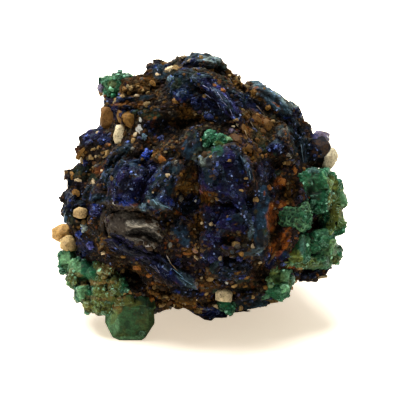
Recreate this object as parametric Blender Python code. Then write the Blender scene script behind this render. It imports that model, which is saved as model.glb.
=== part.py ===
"""Azurite nodule with malachite crystals, a chalcopyrite patch and cemented sand grains.

The nodule is 45 mm wide and stands on a small broken face and on one blocky malachite crystal.
Its front was measured in a plane that leans back by VIEW_TILT, so a place on the front is given
as (right, up) in millimetres from the nodule's centre, as it is seen square to that plane.
"""

import math
import random
from dataclasses import dataclass

import bmesh
import bpy
import numpy as np
from mathutils import Matrix, Vector, noise
from mathutils.bvhtree import BVHTree

MM = 0.001

# The measuring plane, and the nodule's centre above the surface that it rests on.
VIEW_TILT = math.radians(22)
CENTRE = Vector((-0.5, 0.83, 18.6)) * MM
RIGHT = Vector((1, 0, 0))
UP = Vector((0, math.sin(VIEW_TILT), math.cos(VIEW_TILT)))
TOWARDS = Vector((0, -math.cos(VIEW_TILT), math.sin(VIEW_TILT)))

# Half depths of the nodule in front of the measuring plane and behind it, in millimetres.
FRONT_DEPTH = 17.6
BACK_DEPTH = 17.0
ROUNDNESS = 2.25  # 2 is an ellipsoid, more is squarer

# The lump under the nodule that is broken off level: its half sizes, and how much of it is gone.
SEAT_HALF = (8.6, 7.8, 5.0)
SEAT_CUT = 1.8

GAP = 0.3  # left between two separate minerals, in millimetres
SOCKET = 0.42  # share of a crystal's half depth that stands in the nodule
BODY_DETAIL = 5  # subdivisions of the nodule's ball
BODY_SHARE = 0.35  # share of its triangles that are kept, where the skin bends most
GROWN_SHARE = 0.315  # the same once its lumps, plates and grains have grown into it
COBBLE_SIZE = 4.6  # mm from one rounded lump of the crust to the next
COBBLE_HEIGHT = 0.75
COBBLE_GROOVE = 0.45  # how wide the groove between two lumps is, as a share of a lump
FINE_SIZE = 1.9  # mm from one small unevenness to the next
FINE_HEIGHT = 0.28

# What is spread evenly over the sides and the back, and how far down each kind goes.
GOLDEN_TURN = math.pi * (3 - math.sqrt(5))
HIDDEN_SWELLS = 26
HIDDEN_BOULDERS = 20
LOWEST_BOULDER = -0.72
HIDDEN_FANS = 20
LOWEST_FAN = -0.86
FAN_STEP = 0.09  # from one plate of a fan to the next, as a share of the nodule's radius
HIDDEN_GRAINS = 24
LOWEST_GRAIN = -0.8

FAR = 60.0  # mm from the nodule's centre, past all of its surface
SLAB_SIZE = 80.0  # the slab that cuts the resting face level

# The nodule's outline, clockwise from the crest, as (right, up) in millimetres.
OUTLINE = (
    (1.6, 19.3), (3.9, 17.8), (6.4, 14.9), (9.4, 14.3), (11.8, 13.4), (13.9, 12.2),
    (15.1, 10.4), (16.3, 8.1), (17.0, 5.2), (17.7, 2.0), (19.0, -2.6), (19.2, -6.5),
    (18.8, -10.6), (17.2, -13.0), (14.7, -14.5), (12.6, -16.2), (8.9, -17.6), (5.1, -18.6),
    (2.3, -19.2), (-0.8, -18.6), (-3.4, -18.2), (-6.4, -18.6), (-9.6, -16.6), (-13.6, -14.2),
    (-16.4, -11.8), (-18.3, -9.2), (-18.9, -5.7), (-19.0, -3.6), (-18.4, -0.5), (-17.3, 2.7),
    (-16.2, 5.2), (-16.0, 8.2), (-13.8, 9.9), (-13.1, 11.6), (-13.2, 13.5), (-11.8, 15.0),
    (-9.6, 15.9), (-7.6, 17.2), (-6.1, 18.1), (-3.5, 18.1), (-0.8, 19.1),
)


@dataclass(frozen=True)
class Swell:
    """A broad knob (height above 0) or hollow (below 0) of the front, in millimetres and degrees."""

    right: float
    up: float
    along: float
    across: float
    turn: float
    height: float


@dataclass(frozen=True)
class Plate:
    """One tabular azurite crystal.

    Its run is its long side's slope as seen, and its lean turns its flat face to the viewer.
    """

    right: float
    up: float
    length: float
    width: float
    thickness: float
    run: float
    lean: float
    out: float


@dataclass(frozen=True)
class Block:
    """One lump or blocky crystal: its half sizes as seen and in depth, and its turn as seen.

    It stands out of the skin by out, or its front is at front, counted from the measuring plane.
    """

    right: float
    up: float
    half_width: float
    half_height: float
    half_depth: float
    turn: float
    out: float = 0.0
    front: float | None = None


SWELLS = (
    Swell(-0.2, -2.2, 4.6, 1.9, 74, -2.2),  # the rusty hollow between the knobs
    Swell(-3.0, 9.6, 5.2, 2.3, 14, -1.9),  # the hollow under the block
    Swell(12.6, -2.6, 6.4, 1.6, 86, -2.2),  # the groove before the malachite on the right
    Swell(-10.2, -13.6, 3.4, 1.6, -60, -1.6),  # the groove before the malachite on the left
    Swell(10.8, -12.0, 3.0, 1.4, -20, -1.4),
    Swell(-7.2, 4.9, 3.0, 1.1, 40, -1.2),
    Swell(-7.6, -4.4, 3.2, 1.2, 10, -0.8),
    Swell(9.6, 9.8, 4.4, 1.3, -40, -1.0),
)

# The nodule's own lumps, each a faceted boulder grown into its neighbours.
BOULDERS = (
    Block(5.1, 2.4, 5.0, 5.4, 4.4, 10, 2.8),  # the large knob right of the centre
    Block(6.8, -6.2, 4.1, 4.5, 3.8, 0, 2.3),  # the knob under it
    Block(2.6, -8.0, 2.7, 3.3, 3.2, -20, 1.6),
    Block(-9.7, 0.2, 3.1, 3.9, 3.2, -20, 2.1),  # the oval knob on the left
    Block(-4.4, 0.2, 2.4, 5.2, 3.0, -32, 1.8),  # the long knob between them
    Block(-0.8, 6.2, 1.7, 3.0, 2.2, -25, 1.3),
    Block(-1.8, 14.6, 2.7, 3.0, 3.0, 0, 1.6),  # the block under the crest
    Block(1.5, 17.6, 3.4, 2.0, 3.0, -10, 0.9),  # the crest
    Block(-7.2, 14.4, 4.2, 2.2, 3.4, 8, 1.0),  # the shoulder at the upper left
    Block(-8.4, 12.0, 3.8, 1.2, 2.4, 0, 0.8),
    Block(3.8, 13.1, 5.4, 2.4, 3.2, -47, 1.3),  # the ridge of leaning plates
    Block(4.6, 10.4, 3.2, 2.2, 2.6, -50, 0.9),
    Block(10.6, 12.0, 4.4, 2.4, 3.4, -36, 0.8),  # the slab's seat at the upper right
    Block(13.6, 10.2, 2.3, 2.3, 3.0, -50, 0.5),
    Block(15.6, 6.2, 1.8, 4.0, 3.4, 12, 0.6),
    Block(12.4, 5.4, 2.4, 2.8, 2.6, 0, 1.0),
    Block(-14.0, 5.6, 3.0, 3.4, 3.4, 20, 0.5),  # the fine-grained rim on the left
    Block(-16.2, 0.6, 2.4, 3.6, 3.4, -10, 0.5),
    Block(-16.6, -4.2, 2.4, 2.8, 3.2, 0, 0.5),
    Block(-13.6, -1.6, 2.2, 2.8, 2.6, 0, 0.5),
    Block(-10.2, -8.4, 4.2, 1.3, 2.4, -18, 1.1),  # the long lip, in three stretches
    Block(-5.0, -11.8, 4.0, 1.7, 2.8, -38, 1.2),
    Block(-1.8, -14.6, 3.6, 1.9, 3.0, -35, 0.9),
    Block(5.0, -16.2, 5.0, 2.0, 3.4, 4, 0.5),
    Block(4.6, -11.4, 3.6, 2.2, 2.8, -5, 1.0),
    Block(8.6, -14.4, 3.0, 2.2, 2.8, 0, 0.5),
    Block(-0.8, -7.0, 1.7, 3.0, 2.4, 10, 0.7),
    Block(17.8, 6.3, 1.5, 1.9, 2.4, 0, front=3.4),  # the ribbed knob on the right rim
    Block(17.7, 3.8, 1.4, 1.7, 2.2, 0, front=3.6),
    Block(17.4, -12.3, 2.8, 1.3, 3.0, 10, front=5.4),
    Block(-12.0, 11.6, 1.5, 2.3, 2.8, 0, 0.2),
    Block(-9.0, -14.6, 3.6, 2.4, 4.0, -6, 3.2),  # the rock over the foot crystal
    Block(-5.6, -16.6, 2.6, 1.6, 3.0, 12, 1.6),
)

PLATES = (
    # The crest.
    Plate(1.5, 19.0, 5.8, 3.2, 1.0, -4, 24, 0.2),
    Plate(4.6, 17.0, 5.0, 2.6, 0.9, -52, 26, 0.3),
    Plate(-0.4, 16.9, 3.8, 2.4, 0.8, 14, 40, 0.5),
    Plate(-5.7, 17.4, 3.0, 2.2, 1.0, 22, 45, 0.3),
    # The ridge of plates that lean down to the right.
    Plate(1.8, 15.0, 6.4, 2.6, 0.8, -38, 28, 0.5),
    Plate(3.6, 13.6, 8.4, 2.8, 0.9, -48, 28, 0.7),
    Plate(5.4, 12.2, 7.2, 2.6, 0.8, -54, 26, 0.5),
    Plate(7.2, 13.6, 5.6, 2.4, 0.8, -46, 30, 0.3),
    Plate(-1.2, 12.9, 3.4, 2.6, 0.9, -60, 50, 0.5),
    # The slabs at the upper right.
    Plate(9.0, 12.0, 4.6, 3.4, 1.2, -22, 58, 0.7),
    Plate(11.4, 12.7, 7.6, 3.4, 1.3, -38, 24, 0.2),
    Plate(14.3, 10.2, 3.8, 2.8, 1.5, -60, 30, 0.2),
    Plate(9.4, 8.8, 5.6, 2.0, 0.7, -52, 34, 0.3),
    Plate(7.4, 8.6, 5.4, 1.8, 0.6, -50, 24, 0.4),
    # The upright plates of the right rim.
    Plate(15.2, 7.2, 6.2, 2.8, 0.8, -70, 20, 0.3),
    Plate(16.4, 5.0, 5.8, 3.0, 0.8, -80, 16, 0.3),
    Plate(14.0, 6.4, 5.6, 2.4, 0.8, -64, 30, 0.2),
    Plate(17.6, 7.3, 2.6, 1.8, 0.6, 6, 18, 0.2),
    Plate(17.7, 6.2, 3.0, 1.8, 0.6, 2, 18, 0.2),
    Plate(17.6, 5.0, 2.6, 1.8, 0.6, -4, 18, 0.1),
    # The plates that wrap the two knobs right of the centre.
    Plate(8.2, 2.2, 7.4, 2.6, 0.8, -74, 20, 0.6),
    Plate(9.5, 2.8, 6.4, 2.6, 0.8, -66, 22, 0.3),
    Plate(10.1, -6.7, 9.8, 2.8, 1.1, -86, 62, 0.4),
    Plate(10.2, -1.9, 3.6, 3.0, 0.9, -30, 68, 0.3),
    Plate(2.0, 2.4, 6.2, 3.0, 0.8, 60, 40, 0.4),
    Plate(4.4, 5.4, 5.2, 2.8, 0.8, 8, 52, 0.4),
    Plate(5.6, 0.2, 5.8, 3.0, 0.8, -34, 66, 0.4),
    Plate(4.2, -5.0, 5.2, 2.8, 0.8, 52, 60, 0.4),
    Plate(6.8, -8.6, 6.2, 3.0, 0.9, -12, 58, 0.4),
    Plate(8.4, -4.4, 4.2, 2.4, 0.8, -64, 40, 0.4),
    # The rust-stained plates before the malachite on the right.
    Plate(11.8, -4.4, 4.6, 2.2, 0.8, -86, 44, 0.2),
    Plate(12.7, -8.6, 5.8, 2.6, 0.8, 56, 38, 0.3),
    # The ledges and the oval knob on the left.
    Plate(-12.4, 3.4, 7.0, 2.6, 0.8, 58, 28, 0.4),
    Plate(-11.3, 5.5, 4.8, 2.0, 0.7, 40, 26, 0.5),
    Plate(-11.2, 0.6, 5.2, 2.8, 0.8, 70, 40, 0.4),
    Plate(-9.2, 2.0, 4.6, 3.0, 0.8, 24, 58, 0.4),
    Plate(-8.6, -1.4, 4.6, 2.8, 0.8, -40, 56, 0.4),
    # The long knob and the pale plate over it.
    Plate(-0.7, 6.8, 5.4, 3.0, 0.9, 64, 50, 0.4),
    Plate(-3.1, 2.2, 4.6, 3.0, 0.8, 60, 58, 0.4),
    Plate(-5.6, -1.8, 4.8, 2.4, 0.8, 58, 34, 0.4),
    Plate(-6.2, -3.4, 4.0, 1.8, 0.7, -36, 36, 0.4),
    # The lip, and the faces over and under it.
    Plate(-10.2, -8.4, 7.4, 2.4, 0.8, -18, 26, 0.3),
    Plate(-6.2, -10.4, 7.6, 2.6, 0.9, -34, 30, 0.4),
    Plate(-2.6, -12.8, 7.0, 2.6, 0.9, -42, 30, 0.4),
    Plate(-2.0, -7.7, 4.4, 3.0, 0.9, -80, 74, 0.3),
    Plate(2.6, -11.0, 3.8, 2.6, 0.8, 40, 52, 0.4),
    Plate(5.6, -11.4, 4.2, 2.4, 0.8, -24, 46, 0.4),
    Plate(-5.2, -15.4, 4.4, 2.2, 0.8, -30, 40, 0.3),
    Plate(8.0, -15.4, 4.0, 2.2, 0.8, 20, 44, 0.2),
    # The fine-grained left rim.
    Plate(-17.0, -0.8, 4.4, 2.0, 0.8, 76, 30, 0.3),
    Plate(-14.4, -2.6, 3.8, 2.2, 0.8, 40, 50, 0.3),
    Plate(-9.6, 12.2, 5.2, 1.8, 0.8, 4, 24, 0.4),
)

# Sand grains that stand out of the crust, as (right, up, half width, half height, turn).
GRAINS = (
    (-10.1, 10.1, 0.9, 1.6, 12), (-3.8, 17.5, 0.9, 1.0, 20), (2.9, -17.9, 0.8, 0.7, -30),
    (6.2, 16.2, 0.9, 0.8, 0), (-18.8, 1.8, 0.7, 1.1, 0), (-16.9, 5.3, 0.8, 1.1, -20),
    (-2.9, 12.8, 0.75, 0.7, 0), (6.8, -0.5, 0.65, 0.55, 0), (8.8, -8.9, 0.6, 0.7, 0),
    (-1.6, 19.3, 0.8, 0.6, 0), (12.6, 8.9, 1.0, 0.8, -20), (5.7, 7.4, 0.9, 1.0, 0),
    (-15.6, 6.4, 0.7, 0.8, 0), (-13.4, 4.9, 0.7, 0.8, 20), (-17.9, -0.7, 0.6, 0.8, 0),
    (-7.8, 14.2, 0.8, 0.8, 0), (-10.6, 13.6, 0.8, 0.7, 30), (-13.6, 14.6, 0.9, 0.7, 30),
    (12.8, 0.8, 0.8, 0.7, 0), (11.1, -0.4, 0.7, 0.6, 0), (14.8, 3.0, 0.8, 1.0, 10),
    (3.4, -14.0, 0.9, 0.7, -30), (6.6, -16.2, 0.8, 0.7, 0), (-3.6, -17.6, 1.0, 0.6, -10),
    (-5.6, -15.6, 0.7, 0.9, 0), (-8.4, -17.2, 0.8, 0.7, 20), (0.2, -18.4, 0.8, 0.6, 0),
    (-2.4, -5.4, 1.1, 0.5, 38), (0.6, -3.6, 1.1, 0.5, 30), (8.4, 5.2, 0.9, 0.7, 10),
)

# The foot crystal's corners at three heights, as (x, y) from the nodule's centre, its foot first.
FOOT_LEVELS = (
    (0.0, ((-12.3, -14.0), (-11.3, -15.0), (-7.9, -15.0), (-7.4, -14.2), (-7.6, -9.8), (-12.3, -9.8))),
    (2.2, ((-13.4, -13.5), (-11.2, -15.5), (-6.9, -15.4), (-6.0, -13.8), (-6.2, -9.0), (-13.4, -9.0))),
    (6.4, ((-13.3, -13.3), (-11.1, -15.2), (-6.9, -15.1), (-6.1, -13.6), (-6.3, -9.0), (-13.3, -9.0))),
)

LEFT_CLUSTER = (
    Block(-19.0, -11.2, 1.3, 1.7, 2.4, 12, front=3.6),
    Block(-16.9, -12.9, 2.0, 1.9, 3.0, 8, front=5.6),
    Block(-18.0, -14.0, 1.2, 1.1, 2.4, 30, front=4.2),
    Block(-15.9, -15.9, 1.8, 1.5, 3.2, -12, front=6.2),
    Block(-13.6, -13.4, 2.2, 2.1, 3.6, 24, front=8.6),
    Block(-13.3, -16.4, 2.0, 1.7, 3.6, -20, front=9.2),
    Block(-14.9, -17.8, 1.6, 1.2, 3.0, 16, front=7.2),
    Block(-11.2, -15.0, 1.5, 1.5, 3.4, 40, front=9.8),
)

RIGHT_UPPER_CLUSTER = (
    Block(17.6, -0.7, 2.4, 3.1, 4.2, -4, front=8.4),
    Block(20.0, 0.7, 0.9, 1.5, 3.0, -10, front=6.0),
    Block(20.9, 0.2, 0.8, 0.9, 2.4, 30, front=4.6),
    Block(21.5, -1.6, 1.0, 1.6, 2.6, 24, front=4.6),
    Block(20.0, -2.8, 1.8, 2.2, 3.4, 24, front=5.4),
    Block(20.4, -5.4, 1.6, 1.9, 3.0, 6, front=5.4),
)

RIGHT_BLOCK = (
    Block(14.9, -4.6, 2.3, 1.9, 2.6, -6, front=11.6),
    Block(13.3, -4.0, 1.1, 1.2, 2.4, 30, front=11.4),
    Block(16.0, -3.2, 1.0, 0.8, 2.2, 20, front=10.8),
)

RIGHT_LOWER_CLUSTER = (
    Block(15.4, -10.2, 1.4, 1.3, 2.8, -16, front=10.4),
    Block(16.2, -8.8, 0.9, 1.9, 2.8, 0, front=10.4),
    Block(18.6, -8.4, 2.2, 1.9, 3.4, 14, front=8.8),
    Block(20.4, -9.9, 1.3, 1.4, 2.6, 40, front=6.6),
    Block(18.0, -10.9, 2.4, 1.2, 2.8, 4, front=8.2),
)

LOWER_RIGHT_CRYSTAL = (
    Block(12.3, -14.2, 2.1, 2.3, 3.0, -16, front=9.6),
    Block(10.6, -15.4, 1.4, 1.1, 2.4, 20, front=8.8),
)

TOP_LEFT_TUFT = (
    Block(-12.1, 15.2, 1.5, 1.4, 2.6, 20, front=6.8),
    Block(-10.7, 16.1, 1.3, 0.9, 2.2, -8, front=6.4),
    Block(-12.6, 14.1, 0.8, 0.9, 2.2, 0, front=6.6),
)

CENTRE_CRUST = (
    Block(2.1, 6.9, 1.1, 0.9, 1.8, 30, front=18.7),
    Block(3.9, 6.5, 1.3, 0.9, 1.8, -30, front=18.9),
)

BOTTOM_CRYSTAL = (
    Block(4.7, -17.7, 1.3, 0.9, 2.0, -40, front=9.6),
)

# Crystals on the side that is turned away, as (compass, rise, half width, half height, half depth).
BACK_CLUSTER = (
    (118, -8, 2.4, 2.2, 2.4), (128, -20, 2.0, 2.2, 2.2), (112, -22, 1.8, 1.6, 2.0),
    (134, -4, 1.4, 1.6, 1.8),
)

# The chalcopyrite lens and the scoop of its fracture: place, half sizes, turn and height above the skin.
CHALCOPYRITE = (-9.0, -6.2)
CHALCOPYRITE_HALF = (4.5, 2.7, 2.3)
CHALCOPYRITE_TURN = -14
CHALCOPYRITE_OUT = -0.9
CHALCOPYRITE_WAVE = 0.1
SCOOP = (-7.7, -7.0)
SCOOP_HALF = (2.9, 1.25, 1.5)
SCOOP_TURN = -22
SCOOP_OUT = 1.5

PEBBLES = {
    "quartz_pebble_right": Block(19.7, 4.3, 1.3, 2.1, 1.8, -18, front=3.6),
    "quartz_pebble_left": Block(-20.1, -6.9, 1.5, 1.3, 1.8, -38, front=3.4),
    "feldspar_grain_left": Block(-18.9, -8.6, 1.1, 1.5, 1.8, 10, front=4.8),
    "feldspar_block_upper_left": Block(-11.5, 8.0, 1.05, 1.6, 1.4, -4, 0.6),
    "sandstone_grain_upper_left": Block(-13.2, 10.3, 1.15, 1.9, 1.5, 14, 0.3),
    "feldspar_chip_bottom": Block(4.3, -16.1, 1.5, 1.1, 1.3, -30, 0.6),
    "quartz_pebble_rim": Block(-17.0, -3.9, 1.15, 0.95, 1.2, -10, 0.6),
}


def seen_at(right, up, towards):
    """The world position of a place given in the measuring plane's axes, in millimetres."""
    return CENTRE + (RIGHT * right + UP * up + TOWARDS * towards) * MM


def outline_reach():
    """A function that gives the outline's distance from the centre at an angle."""
    angles = np.array([math.atan2(up, right) for right, up in OUTLINE])
    reaches = np.array([math.hypot(right, up) for right, up in OUTLINE])
    order = np.argsort(angles)
    easing = np.radians([-4, 0, 4])

    def reach(angle):
        return float(np.interp(angle + easing, angles[order], reaches[order], period=2 * math.pi).mean())

    return reach


REACH = outline_reach()


def plain_point(direction):
    """The plain nodule's surface point, in millimetres in the measuring axes, along a unit direction."""
    right, up, towards = direction
    reach = REACH(math.atan2(up, right))
    depth = FRONT_DEPTH if towards > 0 else BACK_DEPTH
    spread = (math.hypot(right, up) / reach) ** ROUNDNESS + (abs(towards) / depth) ** ROUNDNESS
    return Vector(direction) * spread ** (-1 / ROUNDNESS)


def plain_front(right, up):
    """The plain nodule's front surface point that is seen at (right, up)."""
    share = min(0.995, math.hypot(right, up) / REACH(math.atan2(up, right)))
    return Vector((right, up, FRONT_DEPTH * (1 - share**ROUNDNESS) ** (1 / ROUNDNESS)))


def spread_out(index, count, first, reach, turn):
    """One of count directions spread evenly over the ball, in the measuring axes, from first backwards."""
    towards = first - reach * (index + 0.5) / count
    angle = GOLDEN_TURN * index + turn
    across = math.sqrt(max(0.0, 1 - towards * towards))
    return across * math.cos(angle), across * math.sin(angle), towards


def in_world(direction):
    """A direction given in the measuring axes, turned to the world's."""
    right, up, towards = direction
    return RIGHT * right + UP * up + TOWARDS * towards


def hidden_swells():
    """Knobs and hollows of the sides and back, spread evenly and varied by a fixed seed."""
    chance = random.Random(7)
    found = []
    for index in range(HIDDEN_SWELLS):
        turn = chance.uniform(-0.2, 0.2)
        direction = Vector(spread_out(index, HIDDEN_SWELLS, 0.12, 1.1, turn)).normalized()
        size = chance.uniform(2.4, 4.8)
        height = chance.choice((-1.5, -0.9, 0.9, 1.4, 1.9)) * chance.uniform(0.7, 1.1)
        found.append((direction, size, size * chance.uniform(0.5, 0.9), chance.uniform(0, 180), height))
    return found


def swell_frames():
    """Every swell as (middle, first tangent, second tangent, half along, half across, height)."""
    listed = [(plain_front(s.right, s.up), s.along, s.across, s.turn, s.height) for s in SWELLS]
    listed += [(plain_point(direction), *sizes) for direction, *sizes in hidden_swells()]
    frames = []
    for middle, along, across, turn, height in listed:
        normal = middle.normalized()
        level = Vector((0, 0, 1)).cross(normal)
        level = level if level.length > 0.3 else Vector((1, 0, 0))
        if middle.z > 0:
            level = Vector((1, 0, 0)) - normal * normal.x
        first = Matrix.Rotation(math.radians(turn), 3, normal) @ level.normalized()
        frames.append((middle, first, normal.cross(first), along, across, height))
    return frames


def swelled(point, frames):
    """A plain surface point moved out or in by the swells that reach it."""
    outward = point.normalized()
    rise = 0.0
    for middle, first, second, along, across, height in frames:
        offset = point - middle
        if outward.dot(middle.normalized()) < 0.4:
            continue
        spread = (offset.dot(first) / along) ** 2 + (offset.dot(second) / across) ** 2
        rise += height * math.exp(-(spread**1.7))
    return point + outward * rise


def cobbled(point):
    """A surface point moved so that the crust is a pavement of rounded lumps with grooves between them."""
    distances, _ = noise.voronoi(point / COBBLE_SIZE, distance_metric="DISTANCE")
    groove = min(1.0, (distances[1] - distances[0]) / COBBLE_GROOVE)
    fine = noise.noise(point / FINE_SIZE)
    return point + point.normalized() * (COBBLE_HEIGHT * (groove - 0.72) + FINE_HEIGHT * fine)


def material(name, colour, roughness, metallic=0.0):
    """A plain finish for one mineral."""
    made = bpy.data.materials.new(name)
    made.use_nodes = True
    shader = made.node_tree.nodes["Principled BSDF"]
    shader.inputs["Base Color"].default_value = (*colour, 1)
    shader.inputs["Roughness"].default_value = roughness
    shader.inputs["Metallic"].default_value = metallic
    return made


def object_of(name, shape, finish=None):
    """A linked object made from a bmesh, which is freed."""
    bmesh.ops.recalc_face_normals(shape, faces=shape.faces)
    mesh = bpy.data.meshes.new(name)
    shape.to_mesh(mesh)
    shape.free()
    made = bpy.data.objects.new(name, mesh)
    bpy.context.scene.collection.objects.link(made)
    if finish:
        mesh.materials.append(finish)
    return made


def hull_object(name, points, finish=None):
    """The convex solid round some world points."""
    shape = bmesh.new()
    for point in points:
        shape.verts.new(point)
    done = bmesh.ops.convex_hull(shape, input=shape.verts)
    loose = {v for v in done["geom_interior"] + done["geom_unused"] if isinstance(v, bmesh.types.BMVert)}
    bmesh.ops.delete(shape, geom=list(loose), context="VERTS")
    return object_of(name, shape, finish)


def joined_solid(base, operation, others):
    """Changes the base object's mesh by a Boolean with every other object, which are left as they are."""
    helpers = bpy.data.collections.new("helpers")
    bpy.context.scene.collection.children.link(helpers)
    for other in others:
        helpers.objects.link(other)
    boolean = base.modifiers.new("Boolean", "BOOLEAN")
    boolean.operation = operation
    boolean.solver = "EXACT"
    boolean.operand_type = "COLLECTION"
    boolean.collection = helpers
    keep_result(base)
    bpy.data.collections.remove(helpers)


def remove(objects):
    """Takes helper objects out of the scene."""
    for old in objects:
        bpy.data.objects.remove(old)


def keep_result(made):
    """Applies an object's modifiers, and keeps the largest body with no stray chips."""
    graph = bpy.context.evaluated_depsgraph_get()
    mesh = bpy.data.meshes.new_from_object(made.evaluated_get(graph))
    made.modifiers.clear()
    made.data = mesh
    shape = bmesh.new()
    shape.from_mesh(mesh)
    bmesh.ops.triangulate(shape, faces=shape.faces)
    bodies = []
    waiting = set(shape.verts)
    while waiting:
        body = {waiting.pop()}
        edge_of_body = list(body)
        while edge_of_body:
            vertex = edge_of_body.pop()
            for edge in vertex.link_edges:
                other = edge.other_vert(vertex)
                if other in waiting:
                    waiting.discard(other)
                    body.add(other)
                    edge_of_body.append(other)
        bodies.append(body)
    bodies.sort(key=len)
    stray = [vertex for body in bodies[:-1] for vertex in body]
    bmesh.ops.delete(shape, geom=stray, context="VERTS")
    shape.to_mesh(mesh)
    shape.free()


def thin_out(made, share):
    """Keeps a share of an object's triangles, and of these the ones that its form needs."""
    thinned = made.modifiers.new("Decimate", "DECIMATE")
    thinned.ratio = share
    keep_result(made)


def nodule_body(finish):
    """The bare nodule: a ball drawn out to the outline, with its swells and its cobbled crust."""
    shape = bmesh.new()
    bmesh.ops.create_icosphere(shape, subdivisions=BODY_DETAIL, radius=1)
    frames = swell_frames()
    for vertex in shape.verts:
        point = cobbled(swelled(plain_point(vertex.co.normalized()), frames))
        vertex.co = seen_at(*point)
    body = object_of("azurite_mass", shape, finish)
    thin_out(body, BODY_SHARE)
    return body


class Surface:
    """The bare nodule's skin, on which the crystals and grains are set."""

    def __init__(self, body):
        """Args: body: the nodule's object."""
        self.tree = BVHTree.FromPolygons(
            [vertex.co for vertex in body.data.vertices], [face.vertices for face in body.data.polygons]
        )

    def front(self, right, up):
        """(position, outward normal) of the skin seen at (right, up), carried on from the rim past it."""
        share = 1.0
        hit = None
        while hit is None:
            start = seen_at(right * share, up * share, FAR)
            hit, normal, _, _ = self.tree.ray_cast(start, -TOWARDS)
            share -= 0.02
        return hit + (RIGHT * right + UP * up) * (0.98 - share) * MM, normal

    def along(self, direction):
        """(position, outward normal) of the skin where a ray from the centre leaves it."""
        hit, normal, _, _ = self.tree.ray_cast(CENTRE + direction * FAR * MM, -direction)
        return hit, normal


def plate_points(middle, long_axis, normal, length, width, thickness, chance):
    """The corners of one tabular crystal: an uneven six-sided table, a little smaller on one face."""
    side = normal.cross(long_axis)
    outline = ((0.5, 0.06), (0.3, 0.5), (-0.28, 0.46), (-0.5, -0.08), (-0.3, -0.5), (0.26, -0.46))
    points = []
    for half, shrink in ((0.5, 0.86), (-0.5, 1.0)):
        for along, across in outline:
            reach = shrink * (1 + chance.uniform(-0.1, 0.1))
            points.append(
                middle
                + long_axis * (along * length * reach * MM)
                + side * (across * width * reach * MM)
                + normal * (half * thickness * MM)
            )
    return points


def boulder(name, position, axes, block, chance, outward=TOWARDS):
    """One lump of the nodule, whose top stands out of the skin at a position."""
    halves = (block.half_width, block.half_height, block.half_depth)
    middle = position + outward * (block.out - block.half_depth) * MM
    if block.front is not None:
        middle = seen_at(block.right, block.up, block.front - block.half_depth)
    return hull_object(name, stone_points(middle, axes, halves, chance, corners=30))


def boulders(surface):
    """The lumps of the front, and those of the sides and back from a fixed seed."""
    chance = random.Random(3)
    made = []
    for index, block in enumerate(BOULDERS):
        position, outward = surface.front(block.right, block.up)
        made.append(boulder(f"boulder_{index}", position, seen_axes(block.turn, outward), block, chance))
    seat = Vector((0.0, 1.0, SEAT_HALF[2] - SEAT_CUT)) * MM
    made.append(hull_object("seat", stone_points(seat, Matrix.Identity(3), SEAT_HALF, chance, corners=44)))
    for index in range(HIDDEN_BOULDERS):
        heading = in_world(spread_out(index, HIDDEN_BOULDERS, -0.1, 0.86, 0.4))
        if heading.z < LOWEST_BOULDER:
            continue
        position, outward = surface.along(heading)
        size = chance.uniform(2.8, 5.2)
        block = Block(0, 0, size, size * chance.uniform(0.5, 0.9), size * 0.8, 0, chance.uniform(0.5, 1.3))
        first = Matrix.Rotation(chance.uniform(0, math.pi), 3, outward) @ outward.orthogonal().normalized()
        axes = (first, outward.cross(first), outward)
        made.append(boulder(f"hidden_boulder_{index}", position, axes, block, chance, outward))
    return made


def front_plates(surface):
    """The tabular crystals of the front, each where it is seen."""
    chance = random.Random(21)
    made = []
    for index, plate in enumerate(PLATES):
        position, _ = surface.front(plate.right, plate.up)
        run = math.radians(plate.run)
        lean = math.radians(plate.lean)
        long_axis = RIGHT * math.cos(run) + UP * math.sin(run)
        rise = UP * math.cos(run) - RIGHT * math.sin(run)
        normal = rise * math.cos(lean) + TOWARDS * math.sin(lean)
        middle = position + TOWARDS * (plate.out - 0.35 * plate.thickness) * MM
        middle -= rise * (0.18 * plate.width * math.sin(lean)) * MM
        points = plate_points(middle, long_axis, normal, plate.length, plate.width, plate.thickness, chance)
        made.append(hull_object(f"plate_{index}", points))
    return made


def hidden_plates(surface):
    """The tabular crystals of the sides and back, in fans that share a slope, from a fixed seed."""
    chance = random.Random(5)
    made = []
    for fan in range(HIDDEN_FANS):
        heading = in_world(spread_out(fan, HIDDEN_FANS, -0.04, 0.92, 0.9))
        if heading.z < LOWEST_FAN:
            continue
        _, outward = surface.along(heading)
        level = heading.orthogonal().normalized()
        long_axis = Matrix.Rotation(chance.uniform(0, math.pi), 3, heading) @ level
        step = heading.cross(long_axis).normalized()
        tilt = math.radians(chance.uniform(30, 62))
        for row in range(chance.choice((2, 3, 3))):
            shifted = heading + step * (row - 1) * FAN_STEP + long_axis * chance.uniform(-0.05, 0.05)
            position, outward = surface.along(shifted.normalized())
            lean = tilt + math.radians(chance.uniform(-9, 9))
            normal = (outward * math.cos(lean) + step * math.sin(lean)).normalized()
            run = (long_axis - normal * normal.dot(long_axis)).normalized()
            length = chance.uniform(3.6, 6.6)
            width = chance.uniform(2.0, 3.2)
            points = plate_points(
                position + outward * 0.35 * MM, run, normal, length, width, chance.uniform(0.6, 1.0), chance
            )
            made.append(hull_object(f"hidden_plate_{fan}_{row}", points))
    return made


def stone_points(middle, axes, halves, chance, grow=0.0, corners=14):
    """Points on a slightly boxy ellipsoid, whose convex hull is one worn, faceted stone."""
    start = chance.uniform(0, math.pi)
    points = []
    for index in range(corners):
        spot = Vector(spread_out(index, corners, 1.0, 2.0, start))
        boxy = 1 / max(abs(spot.x), abs(spot.y), abs(spot.z))
        spot *= (1 + 0.45 * (boxy - 1)) * chance.uniform(0.93, 1.04)
        offset = Vector((0, 0, 0))
        for axis, half, share in zip(axes, halves, spot):
            offset += axis * (half + grow) * share * MM
        points.append(middle + offset)
    return points


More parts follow.
